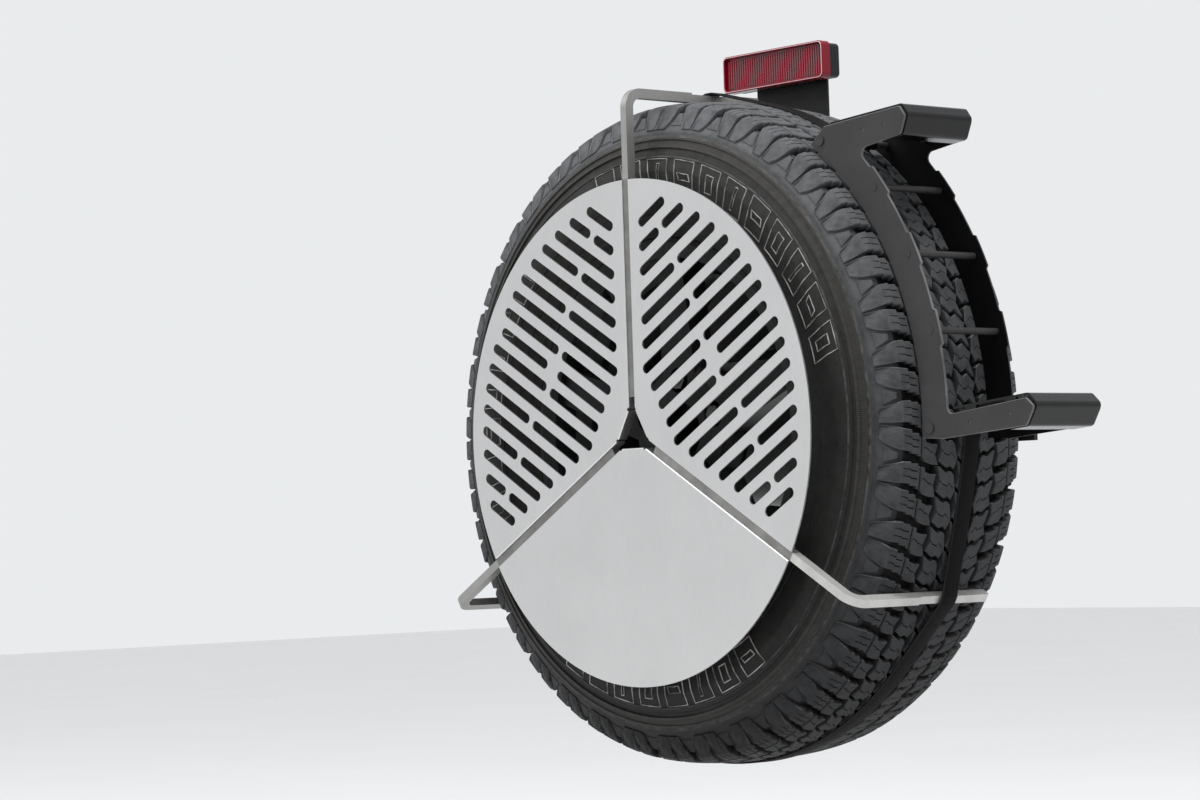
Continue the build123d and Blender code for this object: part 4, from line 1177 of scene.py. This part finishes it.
@dataclass
class Strap:
    """Lashing strap pulled tight round the tread and over the legs, in mm and degrees.

    Its route is the middle of its thickness, in the wheel's XZ plane.
    """

    shop: Workshop
    ride_r: float = 405.15
    skin_r: float = 404.15
    leg_r: float = 416.85
    leg_half: float = 5.0
    width: float = 25.0
    thick: float = 2.0
    roll_thick: float = 1.9
    nib: float = 0.5
    middle: float = -185.0
    pin_r: float = 417.0
    pin_up: float = 51.8
    pin_low: float = 358.2
    pin_loop: float = 5.2
    bolt_loop: float = 4.7
    loop_turn: float = 335.0
    loop_points: int = 21
    ease: float = 0.3
    legs: tuple[float, float, float] = (90.0, 210.0, 330.0)
    tread_r: float = 404.0
    ratchet_at: float = 157.0
    anchor: tuple[float, float] = (42.0, 7.0)
    spool: tuple[float, float] = (-20.0, 17.0)
    roll_r: float = 10.5
    roll_clear: float = 0.25
    roll_radii: tuple[float, float] = (8.1, 9.48)
    roll_turn: tuple[float, float] = (25.0, 600.0)
    roll_points: int = 49
    slot_half: float = 6.4

    def lean(self) -> float:
        """Return how many degrees from a leg's middle the strap lifts off the tread."""
        reach = math.hypot(self.leg_r, self.leg_half)
        return math.degrees(math.acos(self.skin_r / reach) + math.atan2(self.leg_half, self.leg_r))

    def polar(self, radius: Array | float, degrees: Array | float) -> Array:
        """Return points at a radius and at angles from +X towards +Z."""
        turn = np.radians(np.asarray(degrees, float))
        return np.stack((radius * np.cos(turn), radius * np.sin(turn)), -1)

    def ride(self, start: float, end: float) -> Array:
        """Return points on the tread between two angles, about every two degrees."""
        return self.polar(self.ride_r, np.linspace(start, end, max(3, int(abs(end - start) / 2.0) + 1)))

    def over(self, angle: float, way: float) -> Array:
        """Return the bends over a leg. Each is a corner moved out along both faces' directions.

        Args:
            angle: where the leg crosses the tread.
            way: 1 walking towards larger angles and -1 towards smaller ones.

        Returns:
            Three points for each of the leg's two edges.
        """
        edge = math.degrees(math.atan2(self.leg_half, self.leg_r))
        reach = math.hypot(self.leg_r, self.leg_half)
        lean, half = self.lean(), self.thick / 2.0
        rows = []
        for corner, faces in ((-edge, (-lean, -lean / 2.0, 0.0)), (edge, (0.0, lean / 2.0, lean))):
            for face in faces:
                rows.append(self.polar(reach, angle + way * corner) + self.polar(half, angle + way * face))
        return np.stack(rows)

    def loop(self, centre: Array, radius: float, start: float, turn: float) -> Array:
        """Return points round a pin from a direction through a turn."""
        return centre + self.polar(radius, start + np.linspace(0.0, turn, self.loop_points))

    def on_ratchet(self, place: tuple[float, float]) -> Array:
        """Return a point of the ratchet's own frame, turned to where the ratchet sits."""
        turn = math.radians(90.0 - self.ratchet_at)
        x, z = place[0], self.tread_r + place[1]
        return np.array((x * math.cos(turn) + z * math.sin(turn), -x * math.sin(turn) + z * math.cos(turn)))

    def touch(self, centre: Array, radius: float, way: float) -> float:
        """Return the angle where the tread's circle meets a straight run past a round thing."""
        reach, bearing = float(np.hypot(*centre)), math.degrees(math.atan2(centre[1], centre[0]))
        return bearing + way * math.degrees(math.acos((self.skin_r + radius) / reach))

    def upper(self) -> Array:
        """Return the route from the upper pin over the top leg to the ratchet's anchor."""
        pin, bolt = self.polar(self.pin_r, self.pin_up), self.on_ratchet(self.anchor)
        leave = self.touch(pin, self.pin_loop + 1.0, 1.0)
        reach = self.touch(bolt, self.bolt_loop + 1.0, -1.0)
        lean, top = self.lean(), self.legs[0]
        return np.concatenate((
            self.loop(pin, self.pin_loop, leave + 180.0 + self.loop_turn, -self.loop_turn),
            self.ride(leave + self.ease, top - lean), self.over(top, 1.0),
            self.ride(top + lean, reach - self.ease),
            self.loop(bolt, self.bolt_loop, reach + 180.0, -self.loop_turn),
        ))

    def lower(self) -> Array:
        """Return the route from the lower pin, round the bottom and two legs, to the spool."""
        pin, spool = self.polar(self.pin_r, self.pin_low), self.on_ratchet(self.spool)
        leave = self.touch(pin, self.pin_loop + 1.0, -1.0)
        if leave < 0.0:
            leave += 360.0
        near = self.roll_r + self.roll_clear
        reach = self.touch(spool, near + self.thick, 1.0)
        lean, left, right = self.lean(), self.legs[1], self.legs[2]
        last = spool - self.polar(near + self.thick / 2.0, reach)
        return np.concatenate((
            self.loop(pin, self.pin_loop, leave + 180.0 - self.loop_turn, self.loop_turn),
            self.ride(leave - self.ease, right + lean), self.over(right, -1.0),
            self.ride(right - lean, left + lean), self.over(left, -1.0),
            self.ride(left - lean, reach), last[None, :],
        ))

    def roll(self) -> Array:
        """Return the route through the spool's slot and round it in a widening spiral."""
        spool = self.on_ratchet(self.spool)
        across = np.linspace(-self.slot_half, self.slot_half, 5)[:, None]
        slot = spool + self.polar(1.0, self.ratchet_at) * across
        turn = np.linspace(*self.roll_turn, self.roll_points)
        radius = np.linspace(*self.roll_radii, self.roll_points)
        return np.concatenate((slot, spool + self.polar(radius, self.ratchet_at + turn)))

    def sweep(self, path: Array, thick: float) -> tuple[MeshParts, Array]:
        """Return a strap along a route, and each point's place along and across it.

        The section is a flat rectangle with small rounded edges. A point is the route's
        point plus the section's height along the route's right-hand normal, and its Y is
        the strap's middle plus the section's place across.
        """
        step = np.gradient(path, axis=0)
        step /= np.linalg.norm(step, axis=1)[:, None]
        normal = np.stack((step[:, 1], -step[:, 0]), -1)
        half, high, nib = self.width / 2.0, thick / 2.0, self.nib
        near, low = half - nib, high - nib
        across = np.array((-half, -near, 0.0, near, half, half, near, 0.0, -near, -half))
        height = np.array((-low, -high, -high, -high, -low, low, high, high, high, low))
        run = np.concatenate(([0.0], np.cumsum(np.linalg.norm(np.diff(path, axis=0), axis=1))))
        x = path[:, None, 0] + normal[:, None, 0] * height
        z = path[:, None, 1] + normal[:, None, 1] * height
        points = np.stack((x, np.broadcast_to(self.middle + across, x.shape), z), -1) * MM
        place = np.stack((np.broadcast_to(run[:, None], x.shape), np.broadcast_to(across, x.shape)), -1) * MM
        rows, columns = x.shape
        faces = grid_faces(rows, columns, wrap_columns=True)
        first = np.arange(columns)[None, :]
        parts = MeshParts()
        parts.add(points, faces, first[:, ::-1], (rows - 1) * columns + first)
        return parts, place.reshape(-1, 2)

    def lay(self, path: Array, name: str, body: str, thick: float) -> None:
        """Sweep one strap along its route, give it its woven map and put it in place of its node."""
        parts, place = self.sweep(path, thick)
        thing = self.shop.piece(parts, f"{name}_webbing", body, Finish.WEBBING, (name,), sharp=50.0)
        mesh = thing.data
        corners = np.empty(len(mesh.loops), np.int32)
        mesh.loops.foreach_get("vertex_index", corners)
        layer = mesh.uv_layers.new(name="weave")
        layer.data.foreach_set("uv", place[corners].astype(np.float32).reshape(-1))

    def build(self) -> None:
        """Lay both straps and the roll on the spool."""
        self.lay(self.upper(), "strap_upper", "carrier", self.thick)
        self.lay(self.lower(), "strap_lower", "carrier", self.thick)
        self.lay(self.roll(), "strap_roll", "spool", self.roll_thick)


# ---------------------------------------------------------------------------
# Brake lamp
# ---------------------------------------------------------------------------


@dataclass
class LampHighlight:
    """Painted highlight: a pale bead along the front edge of the lamp's frame, in mm."""

    shop: Workshop
    corner: float = 6.0
    inset: float = 1.5
    half: float = 0.75
    proud: float = 0.35
    root: float = -0.2
    top_share: float = 0.6
    arc: int = 7

    def loop(self, width: float, height: float) -> Array:
        """Return a rounded rectangle: quarter circles at the corners, joined by straight runs."""
        turn = np.radians(np.linspace(0.0, 90.0, self.arc))
        arcs = []
        for quarter, (sx, sz) in enumerate(((1, 1), (-1, 1), (-1, -1), (1, -1))):
            angle = turn + quarter * math.pi / 2.0
            centre = np.array((sx * (width / 2.0 - self.corner), sz * (height / 2.0 - self.corner)))
            arcs.append(centre + self.corner * np.stack((np.cos(angle), np.sin(angle)), -1))
        return np.concatenate(arcs)

    def build(self) -> None:
        """Sweep a low bead along the middle of the frame's front wall."""
        low, high = (Vector(c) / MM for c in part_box("lamp_frame"))
        width, height = high.x - low.x - 2.0 * self.inset, high.z - low.z - 2.0 * self.inset
        route = self.loop(width, height)
        away = route / (width, height)
        away /= np.linalg.norm(away, axis=1)[:, None]
        top = self.half * self.top_share
        rings = []
        for shift, lift in ((-self.half, self.root), (-top, self.proud),
                            (top, self.proud), (self.half, self.root)):
            x, z = (route + away * shift).T
            level = np.full_like(x, low.y - lift)
            rings.append(np.stack((x + (low.x + high.x) / 2.0, level, z + (low.z + high.z) / 2.0), -1))
        parts = MeshParts()
        parts.add(np.stack(rings, 0) * MM, grid_faces(4, len(route), wrap_rows=True, wrap_columns=True))
        self.shop.piece(parts, "lamp_frame_line", "carrier", Finish.LAMP_HIGHLIGHT, sharp=60.0)


# ---------------------------------------------------------------------------
# Studio
# ---------------------------------------------------------------------------


@dataclass
class Studio:
    """Pale floor, soft lights and the camera."""

    target: tuple[float, float, float] = (0.0, -0.340, 0.0)
    azimuth: float = 49.114
    elevation: float = -2.278
    roll: float = -1.803
    distance: float = 4.0
    side_shift: float = 0.0385
    up_shift: float = 0.0393
    lens: float = 99.96
    sensor: float = 36.0
    floor_z: float = -0.72
    floor_half: float = 14.0
    sky: tuple[float, float, float] = (0.96, 0.98, 1.0)
    sky_strength: float = 0.85

    def camera(self) -> None:
        """Place the camera at its angles, distance and shifts."""
        a, e, roll = (math.radians(v) for v in (self.azimuth, self.elevation, self.roll))
        back = Vector((math.sin(a) * math.cos(e), -math.cos(a) * math.cos(e), math.sin(e)))
        right = Vector((math.cos(a), math.sin(a), 0.0))
        up = back.cross(right)
        right, up = (
            math.cos(roll) * right + math.sin(roll) * up,
            -math.sin(roll) * right + math.cos(roll) * up,
        )
        place = Vector(self.target) + back * self.distance - right * self.side_shift + up * self.up_shift
        data = bpy.data.cameras.new("camera")
        data.lens = self.lens
        data.sensor_width = self.sensor
        data.clip_end = 60.0
        camera = bpy.data.objects.new("camera", data)
        camera.matrix_world = Matrix.Translation(place) @ Matrix((right, up, back)).transposed().to_4x4()
        bpy.context.collection.objects.link(camera)
        bpy.context.scene.camera = camera

    def floor(self) -> None:
        """Lay a wide pale floor."""
        parts = MeshParts()
        size, z = self.floor_half, self.floor_z
        corners = np.array([[-size, -size, z], [size, -size, z], [size, size, z], [-size, size, z]])
        parts.add(corners, np.array([[0, 1, 2, 3]]))
        floor = parts.build("floor")
        ink = Inks("floor_paint")
        cloud = ink.noise(ink.place(), 2.0, 2.0)
        ink.colour(ink.mix(cloud, (0.80, 0.80, 0.80), (0.84, 0.84, 0.84)))
        ink.rough(0.7)
        floor.data.materials.append(ink.material)

    def light(self, name: str, place: Sequence[float], aim: Sequence[float], size: float,
              power: float) -> None:
        """Add one square soft light that faces a point."""
        data = bpy.data.lights.new(name, "AREA")
        data.size = size
        data.energy = power
        lamp = bpy.data.objects.new(name, data)
        turn = (Vector(aim) - Vector(place)).to_track_quat("-Z", "Y").to_matrix().to_4x4()
        lamp.matrix_world = Matrix.Translation(Vector(place)) @ turn
        bpy.context.collection.objects.link(lamp)

    def build(self) -> None:
        """Set up the whole studio."""
        scene = bpy.context.scene
        scene.view_settings.view_transform = "Standard"
        world = bpy.data.worlds.new("studio")
        world.use_nodes = True
        ground = world.node_tree.nodes["Background"]
        ground.inputs[0].default_value = (*self.sky, 1.0)
        ground.inputs[1].default_value = self.sky_strength
        scene.world = world
        self.floor()
        self.light("key", (-1.6, -3.2, 3.4), (0.0, -0.2, 0.1), 2.4, 110.0)
        self.light("top", (1.6, -0.9, 3.6), (0.2, -0.2, 0.2), 1.8, 110.0)
        self.camera()


# ---------------------------------------------------------------------------
# The object
# ---------------------------------------------------------------------------


DRESSING = {
    Finish.PANEL: ("panel_left", "panel_right", "panel_lower"),
    Finish.LEG: ("leg_top", "leg_left"),
    Finish.LEG_LOW: ("leg_right",),
    Finish.CARRIER: ("tailgate_plate", "standoff_cone", "standoff_ribs", "wheel_plate", "stop_arms",
                     "lamp_stalk"),
    Finish.STEP: ("step_plate_front", "step_bolts", "strap_pins", "step_rods"),
    Finish.STEP_SHADED: ("step_plate_rear",),
    Finish.STEP_TREAD: ("step_upper", "step_lower"),
    Finish.NUT: ("lug_nuts", "wheel_studs"),
    Finish.RIM: ("rim_barrel", "rim_spokes"),
    Finish.ZINC: ("stalk_bolts", "leg_screws", "ratchet_frame", "ratchet_anchor",
                  "ratchet_spool", "ratchet_handle", "drive_pawl", "lock_pawl"),
    Finish.RUBBER: ("stop_pads", "valve_stem", "handle_grip"),
    Finish.LAMP_BODY: ("lamp_housing",),
    Finish.LAMP_FRAME: ("lamp_frame",),
    Finish.LENS: ("lamp_lens",),
    Finish.BOARD: ("lamp_board",),
    Finish.TYRE: ("tyre",),
    Finish.WEBBING: ("strap_upper", "strap_lower", "strap_roll"),
}


def main() -> None:
    """Load the frame, dress it, build the new pieces and set up the studio."""
    logging.basicConfig(level=logging.INFO, format="%(name)s %(message)s")
    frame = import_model()
    shop = Workshop(frame, Palette())
    for finish, names in DRESSING.items():
        shop.dress(finish, *names)
    Tyre(shop).build()
    Strap(shop).build()
    LampHighlight(shop).build()
    Studio().build()


if __name__ == "__main__":
    main()
